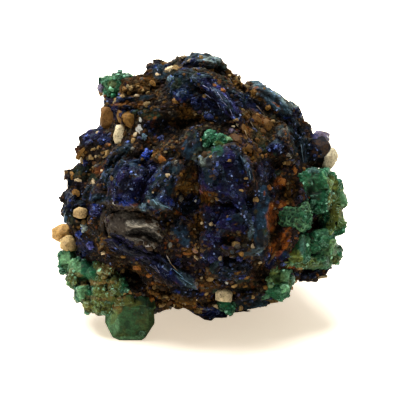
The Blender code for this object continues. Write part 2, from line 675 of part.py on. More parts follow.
def block_points(middle, axes, halves, chance, grow=0.0):
    """The corners of one blocky crystal: a box whose edges and corners are cut by small faces."""
    points = []
    cut = chance.uniform(0.58, 0.72)
    skew = [chance.uniform(-0.08, 0.08) for _ in range(3)]
    for x in (-1, 1):
        for y in (-1, 1):
            for z in (-1, 1):
                for a, b, c in ((x, y * cut, z * cut), (x * cut, y, z * cut), (x * cut, y * cut, z)):
                    offset = Vector((0, 0, 0))
                    leaned = (a + skew[0] * b, b + skew[1] * c, c + skew[2] * a)
                    for axis, half, share in zip(axes, halves, leaned):
                        offset += axis * (half + grow) * share * MM
                    points.append(middle + offset)
    return points


def seen_axes(turn, outward):
    """Axes of a piece that is seen turned by some degrees, the third half way to the skin's normal."""
    depth = (TOWARDS + outward).normalized()
    turned = math.radians(turn)
    wide = RIGHT * math.cos(turned) + UP * math.sin(turned)
    wide = (wide - depth * depth.dot(wide)).normalized()
    return wide, depth.cross(wide), depth


def small_grains(surface):
    """The sand grains that are one with the crust: those listed, and more on the sides and back."""
    chance = random.Random(11)
    made = []
    for index, (right, up, half_width, half_height, turn) in enumerate(GRAINS):
        position, outward = surface.front(right, up)
        axes = seen_axes(turn, outward)
        halves = (half_width, half_height, 0.5 * (half_width + half_height))
        points = stone_points(position + outward * 0.15 * MM, axes, halves, chance, corners=11)
        made.append(hull_object(f"grain_{index}", points))
    for index in range(HIDDEN_GRAINS):
        heading = Vector([chance.gauss(0, 1) for _ in range(3)]).normalized()
        if heading.dot(TOWARDS) > 0.25 or heading.z < LOWEST_GRAIN:
            continue
        position, outward = surface.along(heading)
        axes = seen_axes(chance.uniform(0, 180), outward)
        half = chance.uniform(0.8, 1.4)
        points = stone_points(
            position + outward * 0.2 * MM, axes, (half, half * 0.8, half * 0.8), chance, corners=11
        )
        made.append(hull_object(f"hidden_grain_{index}", points))
    return made


def block_place(block, surface):
    """(middle, outward direction of the skin) of a separate piece."""
    position, outward = surface.front(block.right, block.up)
    if block.front is None:
        return position + TOWARDS * (block.out - SOCKET * block.half_depth) * MM, outward
    return seen_at(block.right, block.up, block.front - block.half_depth), outward


def block_cluster(name, blocks, surface, grow, seed):
    """Blocky crystals grown together in one object, each seen where it is listed."""
    chance = random.Random(seed)
    made = []
    for index, block in enumerate(blocks):
        middle, outward = block_place(block, surface)
        axes = seen_axes(block.turn, outward if block.front is None else TOWARDS)
        halves = (block.half_width, block.half_height, block.half_depth)
        points = block_points(middle, axes, halves, chance, grow)
        made.append(hull_object(name if index == 0 else f"{name}_{index}", points))
    if len(made) > 1:
        joined_solid(made[0], "UNION", made[1:])
        remove(made[1:])
    return made[0]


def back_cluster(name, surface, grow):
    """Blocky crystals grown together on the side that is turned away."""
    chance = random.Random(31)
    made = []
    for index, (compass, rise, half_width, half_height, half_depth) in enumerate(BACK_CLUSTER):
        turn = math.radians(compass)
        lift = math.radians(rise)
        level = math.cos(lift)
        heading = Vector((math.sin(turn) * level, -math.cos(turn) * level, math.sin(lift)))
        position, outward = surface.along(heading)
        wide = Vector((0, 0, 1)).cross(outward).normalized()
        axes = (wide, outward.cross(wide), outward)
        middle = position - outward * (SOCKET * half_depth - 0.7) * MM
        points = block_points(middle, axes, (half_width, half_height, half_depth), chance, grow)
        made.append(hull_object(name if index == 0 else f"{name}_{index}", points))
    joined_solid(made[0], "UNION", made[1:])
    remove(made[1:])
    return made[0]


def foot_crystal(name, grow):
    """The large crystal under the front left, with cut corners and a flat face to stand on."""
    middle = Vector((-9.7, -12.3))
    points = []
    for height, corners in FOOT_LEVELS:
        for corner in corners:
            spread = Vector(corner) - middle
            x, y = middle + spread * (1 + 1.3 * grow / spread.length)
            rise = height + (grow if height > 3 else -grow)
            points.append(Vector((CENTRE.x + x * MM, CENTRE.y + y * MM, rise * MM)))
    return hull_object(name, points)


def stone(name, block, surface, grow, seed):
    """One separate grain or pebble, seen where it is listed."""
    chance = random.Random(seed)
    middle, outward = block_place(block, surface)
    axes = seen_axes(block.turn, outward)
    halves = (block.half_width, block.half_height, block.half_depth)
    return hull_object(name, stone_points(middle, axes, halves, chance, grow, corners=22))


def round_body(name, position, axes, halves, out, detail, grow=0.0, uneven=0.0):
    """A ball drawn out along three axes, its middle some millimetres out of the skin."""
    shape = bmesh.new()
    bmesh.ops.create_icosphere(shape, subdivisions=detail, radius=1)
    middle = position + axes[2] * out * MM
    for vertex in shape.verts:
        spot = vertex.co.copy()
        wave = 1 + uneven * noise.noise(spot * 1.9)
        offset = Vector((0, 0, 0))
        for axis, half, share in zip(axes, halves, spot):
            offset += axis * (half * wave + grow) * share * MM
        vertex.co = middle + offset
    return object_of(name, shape)


def chalcopyrite(name, surface, grow):
    """The grey lens of chalcopyrite, with the shell-shaped scoop of its fracture."""
    position, outward = surface.front(*CHALCOPYRITE)
    axes = seen_axes(CHALCOPYRITE_TURN, outward)
    made = round_body(
        name, position, axes, CHALCOPYRITE_HALF, CHALCOPYRITE_OUT, 3, grow, uneven=CHALCOPYRITE_WAVE
    )
    if grow:
        return made
    position, outward = surface.front(*SCOOP)
    cutter = round_body("scoop", position, seen_axes(SCOOP_TURN, outward), SCOOP_HALF, SCOOP_OUT, 2)
    joined_solid(made, "DIFFERENCE", [cutter])
    remove([cutter])
    return made


def separate_pieces(surface, grow):
    """Every mineral piece that isn't the nodule, or its socket where grow is the gap."""
    clusters = {
        "malachite_cluster_left": (LEFT_CLUSTER, 41),
        "malachite_cluster_right_upper": (RIGHT_UPPER_CLUSTER, 42),
        "malachite_block_right": (RIGHT_BLOCK, 43),
        "malachite_cluster_right_lower": (RIGHT_LOWER_CLUSTER, 44),
        "malachite_crystal_lower_right": (LOWER_RIGHT_CRYSTAL, 45),
        "malachite_tuft_top_left": (TOP_LEFT_TUFT, 46),
        "malachite_crust_centre": (CENTRE_CRUST, 47),
        "malachite_crystal_bottom": (BOTTOM_CRYSTAL, 48),
    }
    prefix = "socket_" if grow else ""
    made = [foot_crystal(prefix + "malachite_foot_crystal", grow)]
    for name, (blocks, seed) in clusters.items():
        made.append(block_cluster(prefix + name, blocks, surface, grow, seed))
    made.append(back_cluster(prefix + "malachite_cluster_back", surface, grow))
    made.append(chalcopyrite(prefix + "chalcopyrite_patch", surface, grow))
    for index, (name, block) in enumerate(PEBBLES.items()):
        made.append(stone(prefix + name, block, surface, grow, 60 + index))
    return made


def part_from_neighbours(pieces, sockets):
    """Cuts each piece back, by the gap, from the pieces before it that it would meet."""
    for index, piece in enumerate(pieces):
        own = BVHTree.FromObject(piece, bpy.context.evaluated_depsgraph_get())
        near = []
        for socket in sockets[:index]:
            other = BVHTree.FromObject(socket, bpy.context.evaluated_depsgraph_get())
            if own.overlap(other):
                near.append(socket)
        if near:
            joined_solid(piece, "DIFFERENCE", near)


def slab_under_the_floor():
    """A slab whose top is the surface that the nodule rests on."""
    shape = bmesh.new()
    middle = Matrix.Translation((0, 0, -SLAB_SIZE / 2 * MM))
    bmesh.ops.create_cube(shape, size=SLAB_SIZE * MM, matrix=middle)
    return object_of("slab", shape)


def finish_of(name):
    """The finish that a piece's mineral gives it."""
    mineral = name.split("_")[0]
    return {
        "azurite": lambda: material("azurite", (0.035, 0.05, 0.18), 0.35),
        "malachite": lambda: material("malachite", (0.06, 0.26, 0.16), 0.5),
        "chalcopyrite": lambda: material("tarnished_chalcopyrite", (0.13, 0.11, 0.09), 0.4, 0.6),
        "quartz": lambda: material("quartz", (0.78, 0.68, 0.5), 0.5),
        "feldspar": lambda: material("feldspar", (0.8, 0.71, 0.55), 0.6),
        "sandstone": lambda: material("rusty_sandstone", (0.5, 0.33, 0.15), 0.8),
    }[mineral]()


def main():
    """Builds the nodule, then the separate minerals in their sockets."""
    remove(list(bpy.data.objects))
    nodule = nodule_body(finish_of("azurite"))
    lumps = boulders(Surface(nodule))
    joined_solid(nodule, "UNION", lumps)
    remove(lumps)
    surface = Surface(nodule)
    grown_on = front_plates(surface) + hidden_plates(surface) + small_grains(surface)
    joined_solid(nodule, "UNION", grown_on)
    remove(grown_on)
    thin_out(nodule, GROWN_SHARE)
    pieces = separate_pieces(surface, 0.0)
    sockets = separate_pieces(surface, GAP)
    slab = slab_under_the_floor()
    part_from_neighbours(pieces, sockets)
    joined_solid(nodule, "DIFFERENCE", sockets + [slab])
    remove(sockets + [slab])
    for piece in pieces:
        piece.data.materials.clear()
        piece.data.materials.append(finish_of(piece.name))


main()
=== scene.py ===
"""The looks of the azurite and chalcopyrite specimen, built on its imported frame.

Lengths are in metres. A place on the seen side is named by the front grid, which has 400 steps across
and 400 down, counted from the top left corner, one step being 0.151 mm at the nodule's middle. Such a
place is carried along the line of sight onto the surface that it belongs to.
"""

from __future__ import annotations

import logging
from collections.abc import Iterator, Sequence
from contextlib import contextmanager
from dataclasses import dataclass, field
from enum import Enum
from itertools import product
from math import cos, pi, radians, sin

import bpy
import numpy as np
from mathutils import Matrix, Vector
from mathutils.bvhtree import BVHTree


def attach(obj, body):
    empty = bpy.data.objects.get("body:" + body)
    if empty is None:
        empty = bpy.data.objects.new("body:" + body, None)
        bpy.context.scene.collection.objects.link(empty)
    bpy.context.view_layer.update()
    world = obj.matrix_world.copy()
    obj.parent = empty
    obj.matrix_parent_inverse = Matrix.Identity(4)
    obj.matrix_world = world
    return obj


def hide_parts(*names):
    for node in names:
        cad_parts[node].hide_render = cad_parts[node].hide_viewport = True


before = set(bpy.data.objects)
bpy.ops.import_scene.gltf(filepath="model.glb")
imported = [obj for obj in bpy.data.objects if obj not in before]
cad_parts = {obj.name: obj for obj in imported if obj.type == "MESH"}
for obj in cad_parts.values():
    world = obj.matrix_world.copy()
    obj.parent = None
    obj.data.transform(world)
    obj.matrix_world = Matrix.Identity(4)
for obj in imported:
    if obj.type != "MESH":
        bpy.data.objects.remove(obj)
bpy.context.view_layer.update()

MM = 0.001
BODY = "root"
log = logging.getLogger("specimen")


# Colours

def linear(colour: str) -> tuple[float, float, float, float]:
    """Turns an sRGB hex colour into the linear one that a shader takes.

    Args:
        colour: such as "#2a2460".

    Returns:
        Red, green, blue and a full alpha.
    """
    parts = [int(colour[i : i + 2], 16) / 255 for i in (1, 3, 5)]
    red, green, blue = (c / 12.92 if c <= 0.04045 else ((c + 0.055) / 1.055) ** 2.4 for c in parts)
    return red, green, blue, 1.0


@dataclass(frozen=True)
class ZoneLook:
    """How a zone looks and what grows on it.

    Attributes:
        tint: its base colour.
        plates: how thickly azurite tablets cover it, 0 to 1.
        crumbs: how grainy it is, 0 to 1.
        shine: how glossy it looks, 0 to 1: where painted sheen, highlights and glints show on the rock, and
            the chalcopyrite's roughness.
    """

    tint: str
    plates: float = 0.0
    crumbs: float = 0.0
    shine: float = 0.3


class Zone(Enum):
    """What a stretch of the specimen is made of, as one would call it by its colour; a few zones carry
    painted shade and painted sheen in their colour.
    """

    CRUST = ZoneLook("#1b140c", 0.1, 0.8, 0.2)  # dark rusty crust
    RUST = ZoneLook("#463010", 0.0, 0.9, 0.1)  # brown iron oxide
    ORANGE = ZoneLook("#5f300d", 0.0, 0.4, 0.15)  # orange iron oxide
    UMBER_SHADE = ZoneLook("#0c0804", 0.05, 0.3, 0.1)  # deep brown iron oxide in hollows, darkened to near black as painted shade
    DARK = ZoneLook("#05070c", 0.8, 0.1, 0.6)  # near-black azurite
    NIGHT = ZoneLook("#0a0813", 0.8, 0.1, 0.12)  # near-black azurite with no light on it
    VIOLET = ZoneLook("#0c0a26", 1.0, 0.05, 0.55)  # violet azurite
    LILAC = ZoneLook("#292957", 1.0, 0.0, 0.95)  # lilac azurite with painted highlights on its edges
    INDIGO = ZoneLook("#070b22", 0.7, 0.05, 0.6)  # deep blue azurite
    BLUE = ZoneLook("#11225f", 0.6, 0.0, 0.8)  # bright blue azurite
    TEAL = ZoneLook("#0b181e", 0.6, 0.15, 0.55)  # grey-blue azurite
    SLATE = ZoneLook("#152634", 0.1, 0.0, 0.6)  # smooth slate-blue face
    SHEEN = ZoneLook("#3b4c50", 0.4, 0.05, 0.95)  # pale blue-grey azurite face, its paleness a painted sheen
    ASH = ZoneLook("#6d776f", 0.4, 0.25, 0.9)  # pale grey-green face
    MOSS = ZoneLook("#19261a", 0.3, 0.4, 0.3)  # azurite going green
    GREEN = ZoneLook("#12472c")  # malachite
    FROSTED = ZoneLook("#2b4a2b")  # grey-green malachite
    MINT = ZoneLook("#5a855c")  # pale malachite
    DEEP_GREEN = ZoneLook("#06190e")  # dark malachite
    OLIVE = ZoneLook("#46491c")  # stained malachite
    YELLOW_GREEN = ZoneLook("#535c24")  # yellow-green malachite
    TAN = ZoneLook("#6a542c")  # tan stain on malachite
    TARNISH = ZoneLook("#352e27", shine=0.3)  # brown-grey chalcopyrite
    PALE_BAND = ZoneLook("#716b60", shine=0.9)  # pale grey chalcopyrite, partly a painted sheen on its glossy band and lips
    GROOVE_SHADE = ZoneLook("#0e0b08", shine=0.5)  # near black: painted shade in the hollow of the break


def tint_of(look: Zone | str) -> np.ndarray:
    """Gives the linear red, green and blue of a zone or of an sRGB hex colour."""
    return np.array(linear(look.value.tint if isinstance(look, Zone) else look)[:3])


def palette(looks: Sequence[Zone | str]) -> np.ndarray:
    """Gives the linear colours of some zones or hex colours, a row each."""
    return np.array([tint_of(look) for look in looks])


# Patterns worked out from a place in space, the same at every run

def scrambled(cells: np.ndarray, seed: int) -> np.ndarray:
    """Gives every grid cell a number of its own.

    Args:
        cells: whole numbers, three to a cell.
        seed: picks one of many sets of numbers.

    Returns:
        One value from 0 to 1 for each cell.
    """
    mixed = cells[..., 0] * 73856093 ^ cells[..., 1] * 19349663 ^ cells[..., 2] * 83492791 ^ seed * 40503
    mixed = (mixed ^ (mixed >> 13)) * 1274126177
    mixed = (mixed ^ (mixed >> 16)) * 668265263
    return ((mixed ^ (mixed >> 15)) & 0xFFFF) / 65535.0


def wave(points: np.ndarray, size: float, seed: int = 0) -> np.ndarray:
    """Gives smooth lumps.

    Args:
        points: places, three numbers each.
        size: the length of a lump.
        seed: picks one of many patterns.

    Returns:
        One value from -1 to 1 for each point.
    """
    grid = points / size
    low = np.floor(grid).astype(np.int64)
    part = grid - low
    part = part * part * (3 - 2 * part)
    total = np.zeros(len(points))
    for corner in product((0, 1), repeat=3):
        share = np.prod(np.where(np.array(corner) == 1, part, 1 - part), axis=1)
        total += share * scrambled(low + np.array(corner), seed)
    return total * 2 - 1


def rough(points: np.ndarray, size: float, seed: int = 0, layers: int = 3) -> np.ndarray:
    """Adds ever finer lumps on each other, and gives about -1 to 1."""
    return sum(wave(points, size / 2**i, seed + 11 * i) / 2**i for i in range(layers)) / 1.5


def grains(points: np.ndarray, size: float, seed: int = 0) -> tuple[np.ndarray, np.ndarray, np.ndarray]:
    """Parts space into irregular grains.

    Args:
        points: places, three numbers each.
        size: the usual width of a grain.
        seed: picks one of many patterns.

    Returns:
        Distance to the nearest grain's middle, distance to the next one, both in grain widths, and a
        number from 0 to 1 that belongs to the nearest grain.
    """
    grid = points / size
    low = np.floor(grid).astype(np.int64)
    nearest = np.full(len(points), 9.0)
    second = np.full(len(points), 9.0)
    mark = np.zeros(len(points))
    for step in product((-1, 0, 1), repeat=3):
        cell = low + np.array(step)
        middle = cell + np.stack([scrambled(cell, seed + k) for k in (1, 2, 3)], axis=1)
        away = np.linalg.norm(grid - middle, axis=1)
        closer = away < nearest
        second = np.where(closer, nearest, np.minimum(second, away))
        mark = np.where(closer, scrambled(cell, seed + 7), mark)
        nearest = np.minimum(nearest, away)
    return nearest, second, mark


def eased(values: np.ndarray, low: float, high: float) -> np.ndarray:
    """Goes smoothly from 0 at low to 1 at high."""
    share = np.clip((values - low) / (high - low), 0, 1)
    return share * share * (3 - 2 * share)


# The front view

@dataclass(frozen=True)
class FrontView:
    """The direction that the specimen is seen from, which its front grid lies across.

    Attributes:
        middle: a place in the nodule's middle.
        grid_middle: where that is on the front grid.
        tilt: how far the view looks down.
        distance: how far off the viewer is.
        step: a step of the grid, at the middle.
        steps: how many there are each way.
        sensor: the camera's sensor, in millimetres.
    """

    middle: tuple[float, float, float] = (-0.5 * MM, 0.83 * MM, 18.6 * MM)
    grid_middle: tuple[float, float] = (195.0, 187.0)
    tilt: float = radians(22)
    distance: float = 500 * MM
    step: float = 0.151 * MM
    steps: int = 400
    sensor: float = 36.0

    @property
    def right(self) -> np.ndarray:
        """The grid's way across."""
        return np.array((1.0, 0.0, 0.0))

    @property
    def up(self) -> np.ndarray:
        """The grid's way up."""
        return np.array((0.0, sin(self.tilt), cos(self.tilt)))

    @property
    def towards(self) -> np.ndarray:
        """The way from the specimen to the viewer."""
        return np.array((0.0, -cos(self.tilt), sin(self.tilt)))

    @property
    def aim(self) -> np.ndarray:
        """The place that the middle of the view shows."""
        across = (self.steps / 2 - self.grid_middle[0]) * self.step
        down = (self.steps / 2 - self.grid_middle[1]) * self.step
        return np.array(self.middle) + across * self.right - down * self.up

    @property
    def eye(self) -> np.ndarray:
        """Where the viewer is."""
        return self.aim + self.distance * self.towards

    def turned(self, turn: float) -> tuple[np.ndarray, np.ndarray]:
        """Gives the grid's ways across and up, turned anticlockwise by an angle in radians."""
        return cos(turn) * self.right + sin(turn) * self.up, cos(turn) * self.up - sin(turn) * self.right

    def runs(self, turns: np.ndarray) -> np.ndarray:
        """Gives the grid's way across, turned anticlockwise by each of many angles in radians."""
        return np.cos(turns)[:, None] * self.right + np.sin(turns)[:, None] * self.up

    def on_grid(self, points: np.ndarray) -> tuple[np.ndarray, np.ndarray]:
        """Finds where points are seen.

        Args:
            points: places in space.

        Returns:
            Their steps across and down the grid.
        """
        from_eye = points - self.eye
        scale = self.distance / -(from_eye @ self.towards) / self.step
        half = self.steps / 2
        return half + (from_eye @ self.right) * scale, half - (from_eye @ self.up) * scale

    def sight(self, x: float, y: float) -> tuple[Vector, Vector]:
        """Gives the start and the direction of the line of sight through a grid place."""
        half = self.steps / 2
        target = self.aim + ((x - half) * self.right + (half - y) * self.up) * self.step
        return Vector(self.eye), Vector(target - self.eye).normalized()

    def frontness(self, points: np.ndarray, normals: np.ndarray) -> np.ndarray:
        """Tells how surely a point belongs to the seen side.

        Args:
            points: places in space.
            normals: the surface's direction there.

        Returns:
            From 0, hidden, to 1, seen.
        """
        depth = (points - np.array(self.middle)) @ self.towards
        return eased(normals @ self.towards + depth / (14 * MM), -0.75, -0.15)

    def add_camera(self) -> None:
        """Adds the camera of this view and makes it the scene's own."""
        lens = bpy.data.cameras.new("front_view")
        lens.sensor_width = self.sensor
        lens.lens = self.sensor * self.distance / (self.steps * self.step)
        lens.clip_start = 0.01
        lens.clip_end = 20
        camera = bpy.data.objects.new("front_view", lens)
        camera.location = Vector(self.eye)
        camera.rotation_euler = Vector(-self.towards).to_track_quat("-Z", "Y").to_euler()
        bpy.context.scene.collection.objects.link(camera)
        bpy.context.scene.camera = camera


VIEW = FrontView()


# Work on meshes

def pick(*pieces: bpy.types.Object) -> None:
    """Selects these pieces and nothing else, and makes the first one active."""
    bpy.ops.object.select_all(action="DESELECT")
    for piece in pieces:
        piece.select_set(True)
    bpy.context.view_layer.objects.active = pieces[0]


@contextmanager
def edit(piece: bpy.types.Object) -> Iterator[None]:
    """Opens edit mode on a piece with all of it selected, and leaves it afterwards."""
    pick(piece)
    bpy.ops.object.mode_set(mode="EDIT")
    bpy.ops.mesh.select_all(action="SELECT")
    yield
    bpy.ops.object.mode_set(mode="OBJECT")


def modify(piece: bpy.types.Object, kind: str, **settings: object) -> None:
    """Adds a modifier to a piece with these settings and applies it."""
    modifier = piece.modifiers.new(kind.title(), kind)
    for name, value in settings.items():
        setattr(modifier, name, value)
    pick(piece)
    bpy.ops.object.modifier_apply(modifier=modifier.name)


def solid_copy(name: str, node: str) -> bpy.types.Object:
    """Copies a CAD node's surface as a new piece with its doubles merged.

    Args:
        name: the new piece's name.
        node: the CAD node's name.

    Returns:
        The new piece.
    """
    piece = bpy.data.objects.new(name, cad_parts[node].data.copy())
    piece.data.name = name
    piece.data.materials.clear()
    bpy.context.scene.collection.objects.link(piece)
    with edit(piece):
        bpy.ops.mesh.remove_doubles(threshold=0.001 * MM)
    return piece


def cut_off(piece: bpy.types.Object, place: Sequence[float], normal: Sequence[float]) -> None:
    """Cuts away what lies past a plane and closes the cut."""
    with edit(piece):
        bpy.ops.mesh.bisect(plane_co=place, plane_no=normal, use_fill=True, clear_outer=True)


def points_of(piece: bpy.types.Object) -> np.ndarray:
    """Gives a piece's points."""
    found = np.empty(len(piece.data.vertices) * 3)
    piece.data.vertices.foreach_get("co", found)
    return found.reshape(-1, 3)


def normals_of(piece: bpy.types.Object) -> np.ndarray:
    """Gives the surface's direction at a piece's points."""
    found = np.empty(len(piece.data.vertices) * 3)
    piece.data.vertex_normals.foreach_get("vector", found)
    return found.reshape(-1, 3)


def move_to(piece: bpy.types.Object, points: np.ndarray) -> None:
    """Puts a piece's points at new places, none of them under the ground."""
    points = points.copy()
    points[:, 2] = np.maximum(points[:, 2], 0.0)
    piece.data.vertices.foreach_set("co", points.ravel())
    piece.data.update()


def paint(piece: bpy.types.Object, name: str, values: np.ndarray) -> None:
    """Stores a value, or a linear colour, at each point of a piece under a name that its finish reads."""
    kind = "FLOAT" if values.ndim == 1 else "FLOAT_COLOR"
    layer = piece.data.attributes.new(name, kind, "POINT")
    if values.ndim == 1:
        layer.data.foreach_set("value", values.astype(np.float32))
        return
    full = np.ones((len(values), 4), np.float32)
    full[:, :3] = values[:, :3]
    layer.data.foreach_set("color", full.ravel())


def evened(values: np.ndarray, ends: np.ndarray, rounds: int) -> np.ndarray:
    """Averages each point's values with its neighbours'.

    Args:
        values: a row for each point.
        ends: the two points of each edge.
        rounds: how many times over.

    Returns:
        The evened values.
    """
    count = len(values)
    first, last = ends[:, 0], ends[:, 1]
    neighbours = np.bincount(first, minlength=count) + np.bincount(last, minlength=count)
    result = values.copy()
    for _ in range(rounds):
        sums = np.empty_like(result)
        for k in range(values.shape[1]):
            sums[:, k] = np.bincount(first, result[last, k], count)
            sums[:, k] += np.bincount(last, result[first, k], count)
        result = 0.5 * result + 0.5 * sums / np.maximum(neighbours, 1)[:, None]
    return result


def relief_of(piece: bpy.types.Object, height: float, rounds: int) -> np.ndarray:
    """Tells ridges from pits.

    Args:
        piece: an evenly meshed piece.
        height: how far a full ridge stands out.
        rounds: how wide the stretch is that a point is held against.

    Returns:
        From -1 in a pit to 1 on a ridge, for each point.
    """
    ends = np.empty(len(piece.data.edges) * 2, np.int64)
    piece.data.edges.foreach_get("vertices", ends)
    points = points_of(piece)
    away = points - evened(points, ends.reshape(-1, 2), rounds)
    return np.clip(np.einsum("ij,ij->i", away, normals_of(piece)) / height, -1, 1)


def dress(
    piece: bpy.types.Object, finish: bpy.types.Material, stands_for: Sequence[str] = ()
) -> None:
    """Gives a piece its finish, ties it to the body, and hides the CAD nodes that it stands for.

    Args:
        piece: the finished mesh.
        finish: its material.
        stands_for: CAD nodes that it takes the place of.
    """
    piece.data.materials.clear()
    piece.data.materials.append(finish)
    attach(piece, BODY)
    if stands_for:
        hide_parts(*stands_for)
    piece.data.calc_loop_triangles()
    log.info("%s: %d triangles", piece.name, len(piece.data.loop_triangles))


# Small things that repeat, each modelled once and then copied

@dataclass(frozen=True)
class Template:
    """A small closed shape, one unit across, that is copied many times.

    Attributes:
        points: its corners.
        corners: the corner numbers of all its faces, one face after another.
        starts: where each face's corners start.
        rim: for each corner, 1 at the thin edge and 0 in the middle.
    """

    points: np.ndarray
    corners: np.ndarray
    starts: np.ndarray
    rim: np.ndarray

    @classmethod
    def of(cls, piece: bpy.types.Object) -> Template:
        """Reads the shape of a modelled piece, scales it to one unit across, and removes the piece."""
        with edit(piece):
            bpy.ops.mesh.remove_doubles(threshold=1e-5)
            bpy.ops.mesh.normals_make_consistent(inside=False)
        mesh = piece.data
        points = points_of(piece)
        points = (points - (points.max(0) + points.min(0)) / 2) / np.ptp(points, axis=0)
        corners = np.empty(len(mesh.loops), np.int64)
        mesh.loops.foreach_get("vertex_index", corners)
        starts = np.empty(len(mesh.polygons), np.int64)
        mesh.polygons.foreach_get("loop_start", starts)
        rim = np.clip(np.linalg.norm(points[:, :2], axis=1) * 2, 0, 1) ** 3
        bpy.data.objects.remove(piece)
        return cls(points, corners, starts, rim)


def tablet(cut: float) -> Template:
    """Models an azurite tablet: a flat six-sided plate with sloping edges.

    Args:
        cut: how much of its ends is cut off aslant, 0 to 1.

    Returns:
        The template, long in x, wide in y, thin in z.
    """
    bpy.ops.mesh.primitive_cube_add(size=2)
    piece = bpy.context.object
    for side in (-1, 1):
        for turn in (-1, 1):
            place = (side * (1 - cut * 0.5), turn * 0.55, 0)
            cut_off(piece, place, (side, turn * (0.6 + cut), 0.25 * turn))
    return Template.of(piece)


def block(cut: float) -> Template:
    """Models a stubby crystal: a cube with its corners cut off and its edges a little worn.

    Args:
        cut: how much of its corners is cut off, 0 to 1.

    Returns:
        The template.
    """
    bpy.ops.mesh.primitive_cube_add(size=2)
    piece = bpy.context.object
    for corner in ((1, 1, 1), (-1, 1, 0.6), (1, -1, -0.7), (-1, -1, 1), (0.2, 1, -1), (-1, 0.1, 0.9)):
        way = np.array(corner, float)
        reach = np.abs(way).sum() * (1 - 0.42 * cut)
        cut_off(piece, way / (way @ way) * reach, way)
    with edit(piece):
        bpy.ops.mesh.bevel(offset=0.05, segments=1, affect="EDGES", clamp_overlap=True)
    return Template.of(piece)


def chip(seed: int, cuts: int) -> Template:
    """Models a broken grain: a ball with flat breaks.

    Args:
        seed: picks its shape.
        cuts: how many flat breaks it has.

    Returns:
        The template.
    """
    bpy.ops.mesh.primitive_ico_sphere_add(subdivisions=1, radius=1)
    piece = bpy.context.object
    random = np.random.default_rng(seed)
    for _ in range(cuts):
        way = random.normal(size=3)
        way /= np.linalg.norm(way)
        cut_off(piece, way * random.uniform(0.55, 0.8), way)
    return Template.of(piece)


def needle() -> Template:
    """Models a malachite needle: a five-sided rod that tapers to its tip, long in x."""
    bpy.ops.mesh.primitive_cylinder_add(vertices=5, radius=1, depth=2)
    piece = bpy.context.object
    points = points_of(piece)
    points[:, :2] *= np.where(points[:, 2] > 0, 0.35, 1.0)[:, None]
    move = points[:, [2, 0, 1]]
    piece.data.vertices.foreach_set("co", move.ravel())
    return Template.of(piece)


@dataclass
class Copies:
    """Many copies of one template, gathered one by one or in rows.

    Attributes:
        axes: for each copy, its three sized directions as columns.
        places: for each copy, its middle.
        tints: for each copy, its linear colour.
    """

    axes: list[np.ndarray] = field(default_factory=list)
    places: list[np.ndarray] = field(default_factory=list)
    tints: list[np.ndarray] = field(default_factory=list)

    def add(self, axes: np.ndarray, places: np.ndarray, tints: np.ndarray) -> None:
        """Adds a row of copies."""
        self.axes.append(axes.reshape(-1, 3, 3))
        self.places.append(places.reshape(-1, 3))
        self.tints.append(tints.reshape(-1, 3))

    def joined(self, name: str, templates: Sequence[Template]) -> bpy.types.Object:
        """Builds one mesh of all copies, which take the templates in turn.

        Args:
            name: the new piece's name.
            templates: the shapes.

        Returns:
            The new piece, with its tint and rim painted.
        """
        axes, places, tints = (np.concatenate(rows) for rows in (self.axes, self.places, self.tints))
        points, corners, starts, colours, rims = [], [], [], [], []
        done, loops = 0, 0
        for k, shape in enumerate(templates):
            mine = slice(k, None, len(templates))
            count, size = len(axes[mine]), len(shape.points)
            made = np.einsum("mij,nj->mni", axes[mine], shape.points) + places[mine][:, None, :]
            points.append(made.reshape(-1, 3))
            corners.append((shape.corners + done + np.arange(count)[:, None] * size).ravel())
            starts.append((shape.starts + loops + np.arange(count)[:, None] * len(shape.corners)).ravel())
            colours.append(np.repeat(tints[mine], size, axis=0))
            rims.append(np.tile(shape.rim, count))
            done += count * size
            loops += count * len(shape.corners)
        mesh = bpy.data.meshes.new(name)
        mesh.vertices.add(done)
        mesh.loops.add(loops)
        mesh.loops.foreach_set("vertex_index", np.concatenate(corners))
        all_starts = np.concatenate(starts)
        mesh.polygons.add(len(all_starts))
        mesh.polygons.foreach_set("loop_start", all_starts)
        piece = bpy.data.objects.new(name, mesh)
        bpy.context.scene.collection.objects.link(piece)
        move_to(piece, np.concatenate(points))
        mesh.update(calc_edges=True)
        mesh.validate()
        paint(piece, "tint", np.concatenate(colours))
        paint(piece, "rim", np.concatenate(rims))
        return piece


def unit(vectors: np.ndarray) -> np.ndarray:
    """Gives vectors the length one."""
    return vectors / np.maximum(np.linalg.norm(vectors, axis=-1, keepdims=True), 1e-12)


def frames_on(normals: np.ndarray, runs: np.ndarray, leans: np.ndarray) -> np.ndarray:
    """Turns small things on a surface.

    Args:
        normals: the surface's direction at each.
        runs: the way that each one's length goes, laid onto the surface.
        leans: how far each one's width stands up from the surface, in radians.

    Returns:
        For each, the directions of its length, width and thickness, as columns.
    """
    along = unit(runs - np.einsum("ij,ij->i", runs, normals)[:, None] * normals)
    side = np.cross(normals, along)
    wide = np.cos(leans)[:, None] * side + np.sin(leans)[:, None] * normals
    return np.stack([along, wide, np.cross(along, wide)], axis=2)


